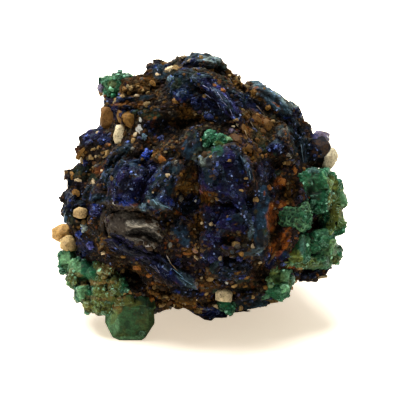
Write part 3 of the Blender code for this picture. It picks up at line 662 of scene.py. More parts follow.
class Surface:
    """The outsides of some pieces, on which others are placed by the front grid."""

    def __init__(self, *pieces: bpy.types.Object) -> None:
        graph = bpy.context.evaluated_depsgraph_get()
        self.trees = [BVHTree.FromObject(piece, graph) for piece in pieces]

    def meet(self, x: float, y: float) -> tuple[np.ndarray, np.ndarray]:
        """Finds the nearest surface on a line of sight, or beside it where the line misses.

        Args:
            x: steps across the front grid.
            y: steps down it.

        Returns:
            The place and the surface's direction there.
        """
        for pull in np.linspace(0, 0.4, 41):
            across = x + (VIEW.grid_middle[0] - x) * pull
            down = y + (VIEW.grid_middle[1] - y) * pull
            start, way = VIEW.sight(across, down)
            hits = [tree.ray_cast(start, way) for tree in self.trees]
            hits = [hit for hit in hits if hit[0] is not None]
            if hits:
                place, normal, _, _ = min(hits, key=lambda hit: hit[3])
                shift = (x - across) * VIEW.right * VIEW.step - (y - down) * VIEW.up * VIEW.step
                return np.array(place) + shift, np.array(normal)
        raise ValueError(f"nothing is near {x}, {y}")


# Finishes

Socket = bpy.types.NodeSocket
Mask = tuple[Socket, float, float, float]


def add_node(
    tree: bpy.types.NodeTree,
    kind: str,
    settings: dict[str | int, object] | None = None,
    links: dict[str | int, Socket] | None = None,
) -> bpy.types.Node:
    """Adds a node to a tree.

    Args:
        tree: the node tree.
        kind: the node's type.
        settings: values by name: a small first letter names a property, any other name or number an input.
        links: sockets that feed inputs, by the input's name or number.

    Returns:
        The node.
    """
    node = tree.nodes.new(kind)
    for name, value in (settings or {}).items():
        if isinstance(name, str) and name[0].islower():
            setattr(node, name, value)
        else:
            node.inputs[name].default_value = value
    for name, socket in (links or {}).items():
        tree.links.new(socket, node.inputs[name])
    return node


class Coat:
    """A material while it is put together: what it reads, and its colour so far."""

    def __init__(self, name: str, settings: dict[str, object], *painted: str) -> None:
        """Starts with one surface shader.

        Args:
            name: the material's name.
            settings: the shader's own values.
            painted: the names of the values painted on the mesh that the material reads, besides its tint.
        """
        self.material = bpy.data.materials.new(name)
        self.material.use_nodes = True
        self.tree = self.material.node_tree
        self.tree.nodes.clear()
        self.shader = self.add("ShaderNodeBsdfPrincipled", settings)
        self.add("ShaderNodeOutputMaterial", links={"Surface": self.shader.outputs[0]})
        self.place = {"Vector": self.add("ShaderNodeTexCoord").outputs["Object"]}
        self.colour = self.add("ShaderNodeAttribute", {"attribute_name": "tint"}).outputs["Color"]
        self.values = [
            self.add("ShaderNodeAttribute", {"attribute_name": name}).outputs["Fac"] for name in painted
        ]

    def add(
        self, kind: str, settings: dict[str | int, object] | None = None,
        links: dict[str | int, Socket] | None = None,
    ) -> bpy.types.Node:
        """Adds a node to the material's tree."""
        return add_node(self.tree, kind, settings, links)

    def vary(self, value: Socket, low: float, high: float) -> None:
        """Makes the colour lighter and darker from spot to spot.

        Args:
            value: from 0 to 1.
            low: what the darkest spots keep of the colour.
            high: what the lightest spots keep.
        """
        share = self.add("ShaderNodeMapRange", {"To Min": low, "To Max": high}, {"Value": value}).outputs[0]
        links = {0: self.colour, "Scale": share}
        self.colour = self.add("ShaderNodeVectorMath", {"operation": "SCALE"}, links).outputs[0]

    def cover(self, over: str | Socket, *masks: Mask) -> None:
        """Lays another colour over the colour so far, where all masks let it.

        Args:
            over: an sRGB hex colour, or a socket.
            masks: a value, where it starts to let the colour through, where it does so fully, and how much.
        """
        share = None
        for value, start, full, most in masks:
            settings = {"From Min": start, "From Max": full, "To Max": most}
            mask = self.add("ShaderNodeMapRange", settings, {"Value": value}).outputs[0]
            if share is not None:
                mask = self.add("ShaderNodeMath", {"operation": "MULTIPLY"}, {0: share, 1: mask}).outputs[0]
            share = mask
        settings, links = {"data_type": "RGBA", "clamp_factor": True}, {0: share, 6: self.colour}
        if isinstance(over, str):
            settings[7] = linear(over)
        else:
            links[7] = over
        self.colour = self.add("ShaderNodeMix", settings, links).outputs[2]

    def facet(self, cells: Socket, turn: float, height: Socket, depth: float) -> None:
        """Turns each small grain of the surface its own way and roughens it, so that grains glint singly.

        Args:
            cells: a colour that is the same over a grain.
            turn: how far grains are turned.
            height: the fine roughness, 0 to 1.
            depth: its depth.
        """
        normal = self.add("ShaderNodeNewGeometry").outputs["Normal"]
        settings = {"operation": "SUBTRACT", 1: (0.5, 0.5, 0.5)}
        centred = self.add("ShaderNodeVectorMath", settings, {0: cells}).outputs[0]
        settings = {"operation": "MULTIPLY_ADD", 1: (turn, turn, turn)}
        turned = self.add("ShaderNodeVectorMath", settings, {0: centred, 2: normal}).outputs[0]
        turned = self.add("ShaderNodeVectorMath", {"operation": "NORMALIZE"}, {0: turned}).outputs[0]
        self.roughen(height, depth, turned)

    def roughen(self, height: Socket, depth: float, normal: Socket | None = None) -> None:
        """Gives the surface a fine roughness of some depth, on top of a direction where one is given."""
        links = {"Height": height} | ({"Normal": normal} if normal else {})
        bump = self.add("ShaderNodeBump", {"Strength": 1.0, "Distance": depth}, links)
        self.tree.links.new(bump.outputs[0], self.shader.inputs["Normal"])

    def gloss(self, value: Socket, ends: tuple[float, float], dull: float, bright: float) -> None:
        """Sets the roughness, from dull where a value is at its first end to bright at its second."""
        settings = {"From Min": ends[0], "From Max": ends[1], "To Min": dull, "To Max": bright}
        share = self.add("ShaderNodeMapRange", settings, {"Value": value}).outputs[0]
        self.tree.links.new(share, self.shader.inputs["Roughness"])

    def done(self) -> bpy.types.Material:
        """Gives the shader its colour, and returns the material."""
        self.tree.links.new(self.colour, self.shader.inputs["Base Color"])
        return self.material


@dataclass(frozen=True)
class RockFinish:
    """Intergrown azurite, iron oxide and sand, broken and weathered.

    It gives the eye a dark, busy ground: grains of 0.4 mm, each its own tone, thin light lines where azurite
    plates end, painted as highlights on their edges, a painted pale sheen on what faces up, painted
    highlights on ridges, painted glints, and painted brown-black shade in pits. The lines are drawn wider
    than they are.

    Attributes:
        grain: the width of a grain of one shade.
        facet: the width of a grain that glints on its own.
        dust: the size of the fine speckle.
        sheen_patch: the size of the broad patches in which the painted sheen, the lines and the glints show.
        sand: the colours of its sand.
        lines: how many lie on a ledge, where on it, half their width, their colour and how strong it is.
    """

    grain: float = 0.42 * MM
    facet: float = 0.26 * MM
    dust: float = 0.16 * MM
    sheen_patch: float = 1.4 * MM
    sand: tuple[str, ...] = ("#4c3110", "#66491f", "#2b190a", "#4d4735", "#583417")
    lines: tuple[tuple[float, float, float, str, float], ...] = (
        (1.0, 0.88, 0.04, "#7e8fae", 0.7), (2.6, 0.5, 0.12, "#03050a", 0.7),
        (2.6, 0.05, 0.06, "#4c5c80", 0.4),
    )

    def make(self) -> bpy.types.Material:
        """Builds the material."""
        coat = Coat(
            "azurite_in_iron_oxide_and_sand", {"IOR": 1.6, "Specular IOR Level": 0.03},
            "relief", "crumbs", "shine", "laminae", "strata",
        )
        relief, crumbs, shine, laminae, strata = coat.values
        cells = coat.add("ShaderNodeTexVoronoi", {"Scale": 1 / self.grain}, coat.place)
        lots = coat.add("ShaderNodeSeparateColor", links={0: cells.outputs["Color"]}).outputs
        facets = coat.add("ShaderNodeTexVoronoi", {"Scale": 1 / self.facet}, coat.place).outputs["Color"]
        glints = coat.add("ShaderNodeSeparateColor", links={0: facets}).outputs
        settings = {"Scale": 1 / self.dust, "Detail": 3, "Roughness": 0.65}
        fine = coat.add("ShaderNodeTexNoise", settings, coat.place).outputs["Fac"]
        settings = {"Scale": 1 / self.sheen_patch, "Detail": 4, "Roughness": 0.6}
        broad = coat.add("ShaderNodeTexNoise", settings, coat.place).outputs["Fac"]
        normal = coat.add("ShaderNodeNewGeometry").outputs["Normal"]
        up = coat.add("ShaderNodeSeparateXYZ", links={0: normal}).outputs[2]
        coat.vary(lots[0], 0.5, 1.55)
        coat.vary(fine, 0.22, 1.85)
        ramp = coat.add("ShaderNodeValToRGB", links={0: lots[2]})
        self.fill(ramp.color_ramp)
        coat.cover(ramp.outputs[0], (lots[1], 0.7, 0.76, 0.75), (crumbs, 0.0, 1.0, 1.0))
        # painted sheen: shiny faces that point up are made pale blue-grey
        coat.cover("#5f757f", (up, 0.25, 1.0, 1.0), (broad, 0.5, 0.64, 0.5), (shine, 0.35, 1.0, 1.0))
        # painted highlight: shiny ridges are made lighter blue
        coat.cover("#54689c", (relief, 0.5, 1.0, 0.6), (fine, 0.45, 0.62, 1.0), (shine, 0.2, 1.0, 1.0))
        # the pale lines are painted highlights on the azurite plates' edges
        settings = {"operation": "MULTIPLY_ADD", 1: 0.3}
        bent = coat.add("ShaderNodeMath", settings, {0: fine, 2: strata}).outputs[0]
        for per_ledge, spot, width, colour, most in self.lines:
            settings = {"operation": "MULTIPLY", 1: per_ledge}
            scaled = coat.add("ShaderNodeMath", settings, {0: bent}).outputs[0]
            part = coat.add("ShaderNodeMath", {"operation": "FRACT"}, {0: scaled}).outputs[0]
            settings = {"operation": "COMPARE", 1: spot, 2: width}
            line = coat.add("ShaderNodeMath", settings, {0: part}).outputs[0]
            coat.cover(
                colour, (line, 0.0, 1.0, most), (laminae, 0.2, 0.8, 1.0), (broad, 0.5, 0.62, 1.0),
                (shine, 0.5, 0.95, 1.0),
            )
        # painted shade: pits are made brown-black
        coat.cover("#060402", (relief, -0.1, -0.8, 0.93))
        # painted glints: a few shiny grains are made pale blue
        glint = (glints[0], 0.955, 0.96, 0.85)
        coat.cover("#8fa6dc", glint, (shine, 0.25, 0.8, 1.0), (broad, 0.47, 0.6, 1.0))
        coat.gloss(glints[1], (0.8, 0.85), 0.7, 0.2)
        coat.facet(facets, 0.5, fine, 0.06 * MM)
        return coat.done()

    def fill(self, ramp: bpy.types.ColorRamp) -> None:
        """Fills a ramp with steps of the sand's colours."""
        ramp.interpolation = "CONSTANT"
        while len(ramp.elements) < len(self.sand):
            ramp.elements.new(0.5)
        for k, colour in enumerate(self.sand):
            ramp.elements[k].position = k / len(self.sand)
            ramp.elements[k].color = linear(colour)


@dataclass(frozen=True)
class TabletFinish:
    """Azurite tablets.

    It gives the eye glassy dark blue, mottled, with a painted highlight where the tablets thin out at the
    rim, and painted glints.

    Attributes:
        name: the material's name.
        roughness: how dull they are.
        pale: the colour of their painted rim highlights and painted glints.
        mottle: the size of the fine speckle.
        facet: the width of a face that glints on its own.
    """

    name: str
    roughness: float = 0.42
    pale: str = "#4f62a2"
    mottle: float = 0.25 * MM
    facet: float = 0.4 * MM

    def make(self) -> bpy.types.Material:
        """Builds the material."""
        settings = {"IOR": 1.75, "Specular IOR Level": 0.06, "Roughness": self.roughness}
        coat = Coat(self.name, settings, "rim")
        settings = {"Scale": 1 / self.mottle, "Detail": 3, "Roughness": 0.6}
        fine = coat.add("ShaderNodeTexNoise", settings, coat.place).outputs["Fac"]
        cells = coat.add("ShaderNodeTexVoronoi", {"Scale": 1 / self.facet}, coat.place).outputs["Color"]
        lots = coat.add("ShaderNodeSeparateColor", links={0: cells}).outputs
        coat.vary(fine, 0.25, 1.9)
        coat.vary(lots[0], 0.55, 1.45)
        # painted highlight on the rims
        coat.cover(self.pale, (coat.values[0], 0.5, 1.0, 0.3), (fine, 0.45, 0.65, 1.0))
        # painted glints: a few faces are made pale
        coat.cover(self.pale, (lots[1], 0.97, 0.975, 0.9))
        coat.facet(cells, 0.3, fine, 0.05 * MM)
        return coat.done()


@dataclass(frozen=True)
class GrainFinish:
    """Sand grains and crumbs: dull quartz and feldspar, or iron oxide.

    It gives the eye a stony colour that is never clean: rust in broad stains, dark dirt in small pits.

    Attributes:
        name: the material's name.
        stain: the colour of the stains.
        stained: how strong they are.
        roughness: how dull the grains are.
        glow: how much light goes through them.
        pit: the size of the pits.
        spread: the size of the stains.
    """

    name: str
    stain: str = "#4a2f12"
    stained: float = 0.5
    roughness: float = 0.6
    glow: float = 0.0
    pit: float = 0.22 * MM
    spread: float = 0.8 * MM

    def make(self) -> bpy.types.Material:
        """Builds the material."""
        settings = {"IOR": 1.54, "Specular IOR Level": 0.1, "Roughness": self.roughness}
        settings |= {"Subsurface Weight": self.glow, "Subsurface Scale": 0.2 * MM}
        coat = Coat(self.name, settings | {"Subsurface Radius": (1.0, 0.7, 0.4)})
        settings = {"Scale": 1 / self.pit, "Detail": 4, "Roughness": 0.7}
        fine = coat.add("ShaderNodeTexNoise", settings, coat.place).outputs["Fac"]
        settings = {"Scale": 1 / self.spread, "Detail": 3, "Roughness": 0.6}
        broad = coat.add("ShaderNodeTexNoise", settings, coat.place).outputs["Fac"]
        coat.vary(fine, 0.4, 1.45)
        coat.cover(self.stain, (broad, 0.46, 0.62, self.stained))
        coat.cover("#17100a", (fine, 0.47, 0.34, 0.8))
        coat.roughen(fine, 0.09 * MM)
        return coat.done()


@dataclass(frozen=True)
class MalachiteFinish:
    """Malachite grown as velvety felt over crystal faces.

    It gives the eye a dull, speckled green, with a painted mint highlight on its edges, and brown dirt and
    painted dark shade in its pits.

    Attributes:
        facet: the width of a face that glints on its own.
        felt: the size of the fine speckle.
    """

    facet: float = 0.3 * MM
    felt: float = 0.2 * MM

    def make(self) -> bpy.types.Material:
        """Builds the material."""
        settings = {"IOR": 1.66, "Specular IOR Level": 0.06, "Roughness": 0.5, "Sheen Weight": 0.03}
        settings |= {"Sheen Roughness": 0.5, "Sheen Tint": linear("#cfe8d8")}
        coat = Coat("malachite_felted", settings, "relief")
        relief = coat.values[0]
        cells = coat.add("ShaderNodeTexVoronoi", {"Scale": 1 / self.facet}, coat.place).outputs["Color"]
        lots = coat.add("ShaderNodeSeparateColor", links={0: cells}).outputs
        settings = {"Scale": 1 / self.felt, "Detail": 3, "Roughness": 0.6}
        fine = coat.add("ShaderNodeTexNoise", settings, coat.place).outputs["Fac"]
        coat.vary(fine, 0.2, 1.8)
        coat.vary(lots[0], 0.6, 1.4)
        # painted highlight: ridges are made mint
        coat.cover("#80bda0", (relief, 0.36, 0.95, 0.9), (fine, 0.44, 0.6, 1.0))
        coat.cover("#3c3212", (lots[1], 0.84, 0.88, 0.6), (relief, 0.3, -0.2, 1.0))
        # painted shade: pits are made near-black green
        coat.cover("#041008", (relief, -0.05, -0.6, 0.95))
        coat.facet(cells, 0.35, fine, 0.05 * MM)
        return coat.done()


@dataclass(frozen=True)
class ChalcopyriteFinish:
    """Tarnished chalcopyrite.

    It gives the eye a brassy sulphide dulled to brown-grey, with a silky grain where it broke fresh,
    painted highlights on its ridges and painted shade in its hollows.

    Attributes:
        fibre: the width of a silky fibre.
        slope: the way that the fibres run.
        speck: the size of the fine speckle.
        cloud: the size of the broad stains.
    """

    fibre: float = 0.11 * MM
    slope: float = radians(20)
    speck: float = 0.28 * MM
    cloud: float = 1.1 * MM

    def make(self) -> bpy.types.Material:
        """Builds the material."""
        settings = {"Metallic": 0.35, "Specular IOR Level": 0.2}
        coat = Coat("chalcopyrite_tarnished", settings, "relief", "shine")
        relief, shine = coat.values
        settings = {"Scale": 1 / self.speck, "Detail": 4, "Roughness": 0.65}
        fine = coat.add("ShaderNodeTexNoise", settings, coat.place).outputs["Fac"]
        settings = {"Scale": 1 / self.cloud, "Detail": 3}
        broad = coat.add("ShaderNodeTexNoise", settings, coat.place).outputs["Fac"]
        settings = {"vector_type": "TEXTURE", "Rotation": (0, self.slope, 0), "Scale": (7, 1, 1)}
        along = coat.add("ShaderNodeMapping", settings, coat.place).outputs[0]
        settings = {"Scale": 1 / self.fibre, "Detail": 3, "Roughness": 0.6}
        silk = coat.add("ShaderNodeTexNoise", settings, {"Vector": along}).outputs["Fac"]
        coat.vary(fine, 0.15, 1.9)
        coat.vary(broad, 0.6, 1.4)
        coat.cover("#b9b4a8", (silk, 0.5, 0.66, 0.8), (shine, 0.4, 0.8, 1.0))
        coat.cover("#0a0806", (silk, 0.48, 0.36, 0.6), (shine, 0.4, 0.8, 1.0))
        # painted highlight on ridges and lips, and painted shade in hollows
        coat.cover("#8f887c", (relief, 0.3, 1.0, 0.45))
        coat.cover("#0b0806", (relief, -0.15, -0.9, 0.9))
        coat.gloss(shine, (0.0, 1.0), 0.75, 0.35)
        coat.roughen(fine, 0.06 * MM)
        return coat.done()


@dataclass(frozen=True)
class PaperFinish:
    """A sheet of white paper, which the specimen stands on, exposed until its shadows are pale beige.

    Attributes:
        veil: how much of its own light the viewer sees on it.
        fibre: the size of its faint clouds.
    """

    veil: float = 0.98
    fibre: float = 3 * MM

    def make(self) -> bpy.types.Material:
        """Builds the material."""
        settings = {"Roughness": 0.9, "Specular IOR Level": 0.1, "Emission Color": linear("#d2c3ae")}
        coat = Coat("paper_white", settings)
        settings = {"Scale": 1 / self.fibre, "Detail": 2}
        fibres = coat.add("ShaderNodeTexNoise", settings, coat.place).outputs["Fac"]
        ray = coat.add("ShaderNodeLightPath").outputs["Is Camera Ray"]
        veil = coat.add("ShaderNodeMapRange", {"To Max": self.veil}, {"Value": ray}).outputs[0]
        coat.tree.links.new(veil, coat.shader.inputs["Emission Strength"])
        shades = {"data_type": "RGBA", 6: linear("#f4ece0"), 7: linear("#f8f2e4")}
        coat.colour = coat.add("ShaderNodeMix", shades, {0: fibres}).outputs[2]
        return coat.done()


# What the seen side is made of, from place to place, and where painted shade and sheen lie on it

@dataclass(frozen=True)
class Spot:
    """Something at a place on the front grid.

    Attributes:
        x: its middle, steps across.
        y: its middle, steps down.
        long: its length in steps, or half of it for a stretch of ground.
        wide: its width in steps, or half of it for a stretch of ground.
        turn: the way that its length goes, in degrees anticlockwise from the right.
    """

    x: float
    y: float
    long: float
    wide: float
    turn: float

    def reach(self, across: np.ndarray, down: np.ndarray) -> np.ndarray:
        """Tells how far grid places lie from the middle: 1 where the length or the width ends."""
        x, y, turn = across - self.x, self.y - down, radians(self.turn)
        along, aside = x * cos(turn) + y * sin(turn), y * cos(turn) - x * sin(turn)
        return np.hypot(along / self.long, aside / self.wide)

    def at(self, along: float, aside: float) -> tuple[float, float]:
        """Gives the grid place that lies some steps along the length and up the width."""
        turn = radians(self.turn)
        x = self.x + along * cos(turn) - aside * sin(turn)
        return x, self.y - along * sin(turn) - aside * cos(turn)


@dataclass(frozen=True)
class Patch(Spot):
    """A stretch of one zone on the front.

    Attributes:
        zone: what it is made of.
        share: how fully it covers what lies under it.
    """

    zone: Zone
    share: float = 1.0


def each(kind: type, *rows: tuple) -> tuple:
    """Makes one thing of a kind from each row of its values."""
    return tuple(kind(*row) for row in rows)


def grouped(kind: type, groups: dict[Enum, tuple]) -> tuple:
    """Makes one thing of a kind from each row of its values, with the group's name as its last value."""
    return tuple(kind(*row, name) for name, rows in groups.items() for row in rows)


MASS_PATCHES = each(
    Patch,
    (170, 120, 60, 45, 0, Zone.CRUST, 0.7), (133, 88, 28, 20, 15, Zone.RUST, 0.75),
    (98, 88, 7, 9, 0, Zone.VIOLET), (112, 98, 10, 7, 0, Zone.INDIGO, 0.8),
    (155, 64, 12, 5, 20, Zone.UMBER_SHADE), (160, 71, 9, 8, 0, Zone.TEAL), (135, 98, 18, 3, 3, Zone.TEAL),
    (130, 104, 16, 3, 0, Zone.ORANGE, 0.25), (128, 109, 7, 5, 0, Zone.TEAL),
    (114, 112, 8, 7, 0, Zone.VIOLET, 0.8), (94, 130, 9, 9, 0, Zone.VIOLET, 0.9),
    (103, 141, 9, 6, 70, Zone.INDIGO), (86, 138, 5, 6, 0, Zone.VIOLET),
    (92, 154, 15, 10, 0, Zone.CRUST, 0.8), (85, 172, 14, 9, 0, Zone.MOSS, 0.7),
    (97, 170, 8, 4, 0, Zone.ORANGE, 0.6), (120, 154, 17, 6, 42, Zone.TEAL),
    (109, 174, 16, 6, 70, Zone.TEAL), (130, 183, 26, 21, 70, Zone.VIOLET),
    (124, 200, 12, 5, -10, Zone.BLUE, 0.6), (151, 172, 13, 7, 80, Zone.VIOLET),
    (160, 156, 9, 8, 0, Zone.RUST, 0.8), (165, 125, 26, 14, 0, Zone.UMBER_SHADE),
    (148, 114, 13, 6, -10, Zone.MOSS, 0.7), (156, 127, 11, 9, 0, Zone.DARK, 0.7),
    (182, 86, 17, 15, 0, Zone.TEAL), (184, 96, 10, 7, 0, Zone.BLUE, 0.4), (197, 104, 6, 7, 0, Zone.INDIGO),
    (190, 114, 16, 6, -20, Zone.RUST), (192, 126, 18, 7, 10, Zone.UMBER_SHADE, 0.7),
    (191, 146, 16, 9, 75, Zone.SLATE, 0.8), (173, 160, 10, 8, 0, Zone.UMBER_SHADE, 0.8),
    (164, 184, 25, 13, 60, Zone.TEAL), (157, 204, 12, 8, -20, Zone.BLUE, 0.5),
    (190, 181, 15, 13, 60, Zone.RUST, 0.9), (197, 177, 9, 6, 0, Zone.ORANGE, 0.5),
    (184, 203, 14, 11, 0, Zone.DARK), (186, 208, 9, 6, 20, Zone.TEAL, 0.8),
    (189, 187, 14, 6, 10, Zone.RUST), (205, 192, 9, 6, -60, Zone.ORANGE, 0.5),
    (205, 58, 21, 7, -8, Zone.SHEEN, 0.7), (214, 62, 14, 6, -35, Zone.ASH, 0.6),
    (196, 56, 11, 4, 5, Zone.ASH, 0.5), (204, 64, 16, 3, -5, Zone.CRUST, 0.5),
    (200, 69, 14, 4, 0, Zone.MOSS, 0.6), (190, 65, 10, 6, 20, Zone.DARK),
    (221, 71, 9, 9, -45, Zone.CRUST, 0.8), (212, 87, 20, 7, -45, Zone.VIOLET),
    (224, 101, 22, 8, -50, Zone.LILAC), (214, 112, 17, 9, -45, Zone.DARK),
    (235, 113, 14, 5, -52, Zone.VIOLET), (241, 98, 14, 6, -45, Zone.TEAL),
    (257, 92, 10, 7, -30, Zone.RUST), (276, 96, 32, 9, -38, Zone.SHEEN),
    (285, 95, 22, 5, -42, Zone.ASH, 0.7), (278, 108, 18, 6, -42, Zone.TEAL),
    (253, 108, 11, 7, -25, Zone.INDIGO), (294, 114, 7, 6, 0, Zone.DARK),
    (256, 125, 20, 11, -45, Zone.RUST, 0.9), (262, 121, 9, 7, -30, Zone.ORANGE, 0.6),
    (247, 131, 9, 5, -50, Zone.ORANGE, 0.5), (262, 137, 16, 10, -50, Zone.MOSS, 0.6),
    (248, 154, 12, 7, -20, Zone.RUST), (277, 147, 10, 8, 0, Zone.INDIGO),
    (283, 130, 8, 7, 0, Zone.SHEEN, 0.6), (301, 144, 27, 8, -72, Zone.TEAL),
    (278, 160, 10, 7, 0, Zone.UMBER_SHADE), (319, 135, 9, 6, -10, Zone.LILAC, 0.5),
    (317, 150, 12, 11, 0, Zone.DARK), (314, 165, 12, 4, 0, Zone.RUST, 0.7),
    (288, 190, 12, 16, 0, Zone.UMBER_SHADE, 0.9), (282, 183, 8, 6, 0, Zone.ORANGE, 0.6),
    (266, 170, 9, 11, 0, Zone.VIOLET, 0.7), (265, 192, 12, 9, 0, Zone.DARK, 0.8),
    (224, 174, 28, 26, 0, Zone.VIOLET), (205, 158, 18, 11, -40, Zone.MOSS, 0.75),
    (214, 148, 12, 6, -35, Zone.GREEN, 0.5), (203, 158, 12, 8, -40, Zone.ASH, 0.5),
    (212, 178, 10, 8, -45, Zone.TEAL, 0.8), (243, 164, 18, 7, -65, Zone.SLATE, 0.6),
    (74, 206, 13, 18, 0, Zone.DARK), (68, 219, 7, 8, 0, Zone.MOSS, 0.7), (96, 210, 8, 9, 0, Zone.VIOLET),
    (100, 199, 13, 6, 0, Zone.TEAL), (101, 226, 9, 9, 0, Zone.CRUST),
    (84, 247, 11, 10, 0, Zone.INDIGO, 0.8), (108, 245, 13, 9, -15, Zone.RUST, 0.6),
    (158, 205, 15, 6, -25, Zone.SHEEN, 0.7), (143, 208, 5, 5, 0, Zone.SHEEN, 0.8),
    (181, 233, 16, 8, -60, Zone.SLATE, 0.8), (199, 224, 14, 7, 80, Zone.RUST, 0.8),
    (170, 215, 10, 7, 0, Zone.CRUST), (124, 246, 20, 9, -15, Zone.NIGHT),
    (146, 256, 22, 9, -28, Zone.NIGHT, 0.9), (166, 268, 20, 9, -42, Zone.INDIGO),
    (186, 281, 18, 9, -40, Zone.INDIGO), (190, 252, 9, 4, 0, Zone.RUST, 0.8),
    (184, 277, 11, 5, -35, Zone.SHEEN, 0.7), (134, 276, 16, 13, 0, Zone.UMBER_SHADE),
    (137, 270, 8, 5, 0, Zone.RUST, 0.6), (115, 264, 10, 9, 0, Zone.CRUST),
    (156, 290, 11, 9, 0, Zone.RUST, 0.8), (178, 303, 22, 8, -5, Zone.RUST, 0.8),
    (190, 291, 16, 7, 0, Zone.DARK), (227, 214, 25, 17, -10, Zone.VIOLET),
    (245, 212, 10, 20, 0, Zone.INDIGO), (214, 237, 13, 11, 0, Zone.VIOLET, 0.9),
    (229, 238, 8, 9, 0, Zone.UMBER_SHADE, 0.8), (211, 202, 12, 6, -20, Zone.UMBER_SHADE),
    (209, 197, 10, 7, 0, Zone.RUST, 0.9), (207, 195, 6, 5, 0, Zone.ORANGE, 0.4),
    (262, 219, 38, 8, 88, Zone.SLATE), (252, 230, 11, 3, 85, Zone.SHEEN, 0.8),
    (254, 252, 12, 4, 18, Zone.SHEEN, 0.8), (213, 258, 12, 8, -20, Zone.VIOLET),
    (214, 266, 7, 3, 40, Zone.SHEEN, 0.8), (236, 268, 16, 9, 0, Zone.DARK),
    (223, 276, 10, 6, 0, Zone.TEAL), (207, 283, 13, 9, 0, Zone.RUST, 0.6),
    (246, 284, 12, 8, 0, Zone.MOSS, 0.5), (252, 302, 18, 7, 8, Zone.TEAL, 0.8),
    (214, 313, 14, 5, 0, Zone.INDIGO), (272, 216, 6, 15, 0, Zone.ORANGE),
    (281, 243, 18, 8, 58, Zone.ORANGE), (281, 254, 8, 5, 0, Zone.INDIGO), (270, 261, 6, 8, 0, Zone.VIOLET),
    (292, 268, 10, 4, 0, Zone.ORANGE, 0.6), (297, 277, 8, 6, 0, Zone.DARK),
    (315, 271, 14, 6, 10, Zone.DARK), (281, 290, 7, 7, 0, Zone.DARK), (262, 278, 8, 8, 0, Zone.UMBER_SHADE, 0.8),
    (119, 208, 20, 8, -8, Zone.TARNISH, 0.9), (105, 220, 6, 11, 0, Zone.TARNISH, 0.8),
)


GREEN_PATCHES = each(
    Patch,
    (315, 184, 13, 9, 0, Zone.FROSTED, 0.4), (331, 195, 16, 1.5, 85, Zone.MINT, 0.8),
    # (313, 171) is a painted highlight on the upper right group's top.
    (327, 178, 8, 1.5, -50, Zone.MINT, 0.7), (313, 171, 7, 3, 0, Zone.SHEEN, 0.6),
    (326, 205, 10, 5, 80, Zone.DEEP_GREEN, 0.5), (306, 200, 9, 12, 0, Zone.DEEP_GREEN, 0.6),
    (312, 188, 3, 12, 8, Zone.DEEP_GREEN, 0.6), (335, 205, 18, 7, -80, Zone.OLIVE),
    (341, 198, 10, 5, -60, Zone.FROSTED, 0.7), (333, 183, 8, 5, -70, Zone.YELLOW_GREEN, 0.8),
    (338, 222, 9, 8, 0, Zone.YELLOW_GREEN, 0.5), (295, 258, 8, 5, 0, Zone.YELLOW_GREEN, 0.8),
    # (294, 247) and (303, 247) are painted shade and a painted highlight on the left and right faces of one
    # crystal.
    (294, 247, 4, 8, 10, Zone.DEEP_GREEN, 0.4), (303, 247, 9, 3.5, 85, Zone.SHEEN, 0.35),
    (297, 241, 6, 1.2, 45, Zone.MINT, 0.7), (332, 255, 8, 10, 0, Zone.OLIVE, 0.4),
    (312, 264, 14, 4, 0, Zone.OLIVE, 0.6), (276, 277, 9, 7, -30, Zone.YELLOW_GREEN, 0.4),
    (67, 262, 6, 9, 0, Zone.MINT, 0.7), (73, 278, 7, 7, 0, Zone.OLIVE, 0.6),
    (78, 270, 9, 3, 75, Zone.MINT, 0.8), (88, 283, 12, 3, 5, Zone.TAN, 0.8),
    (83, 294, 8, 3, 75, Zone.MINT, 0.8), (94, 306, 14, 7, -20, Zone.OLIVE, 0.8),
    (108, 282, 13, 20, 0, Zone.OLIVE, 0.8), (106, 270, 10, 8, 0, Zone.TAN, 0.5),
    (118, 305, 14, 3, 55, Zone.TAN, 0.8), (113, 324, 15, 6, 82, Zone.MINT, 0.65),
    (115, 316, 10, 3, 60, Zone.YELLOW_GREEN, 0.6), (147, 322, 13, 7, 70, Zone.OLIVE, 0.3),
    (128, 303, 14, 4, 0, Zone.OLIVE, 0.8), (130, 338, 20, 2, 0, Zone.MINT, 0.8),
    (104, 283, 14, 2, 0, Zone.TAN, 0.8), (96, 298, 13, 2, -12, Zone.TAN, 0.6),
    (104, 275, 2, 9, 0, Zone.TAN, 0.5), (75, 274, 8, 2, -20, Zone.TAN, 0.6),
    (110, 291, 2, 8, 10, Zone.TAN, 0.5), (112, 84, 4, 4, 0, Zone.TAN, 0.6),
    (207, 140, 5, 4, 0, Zone.DEEP_GREEN, 0.3), (222, 146, 9, 4, -30, Zone.YELLOW_GREEN, 0.6),
)


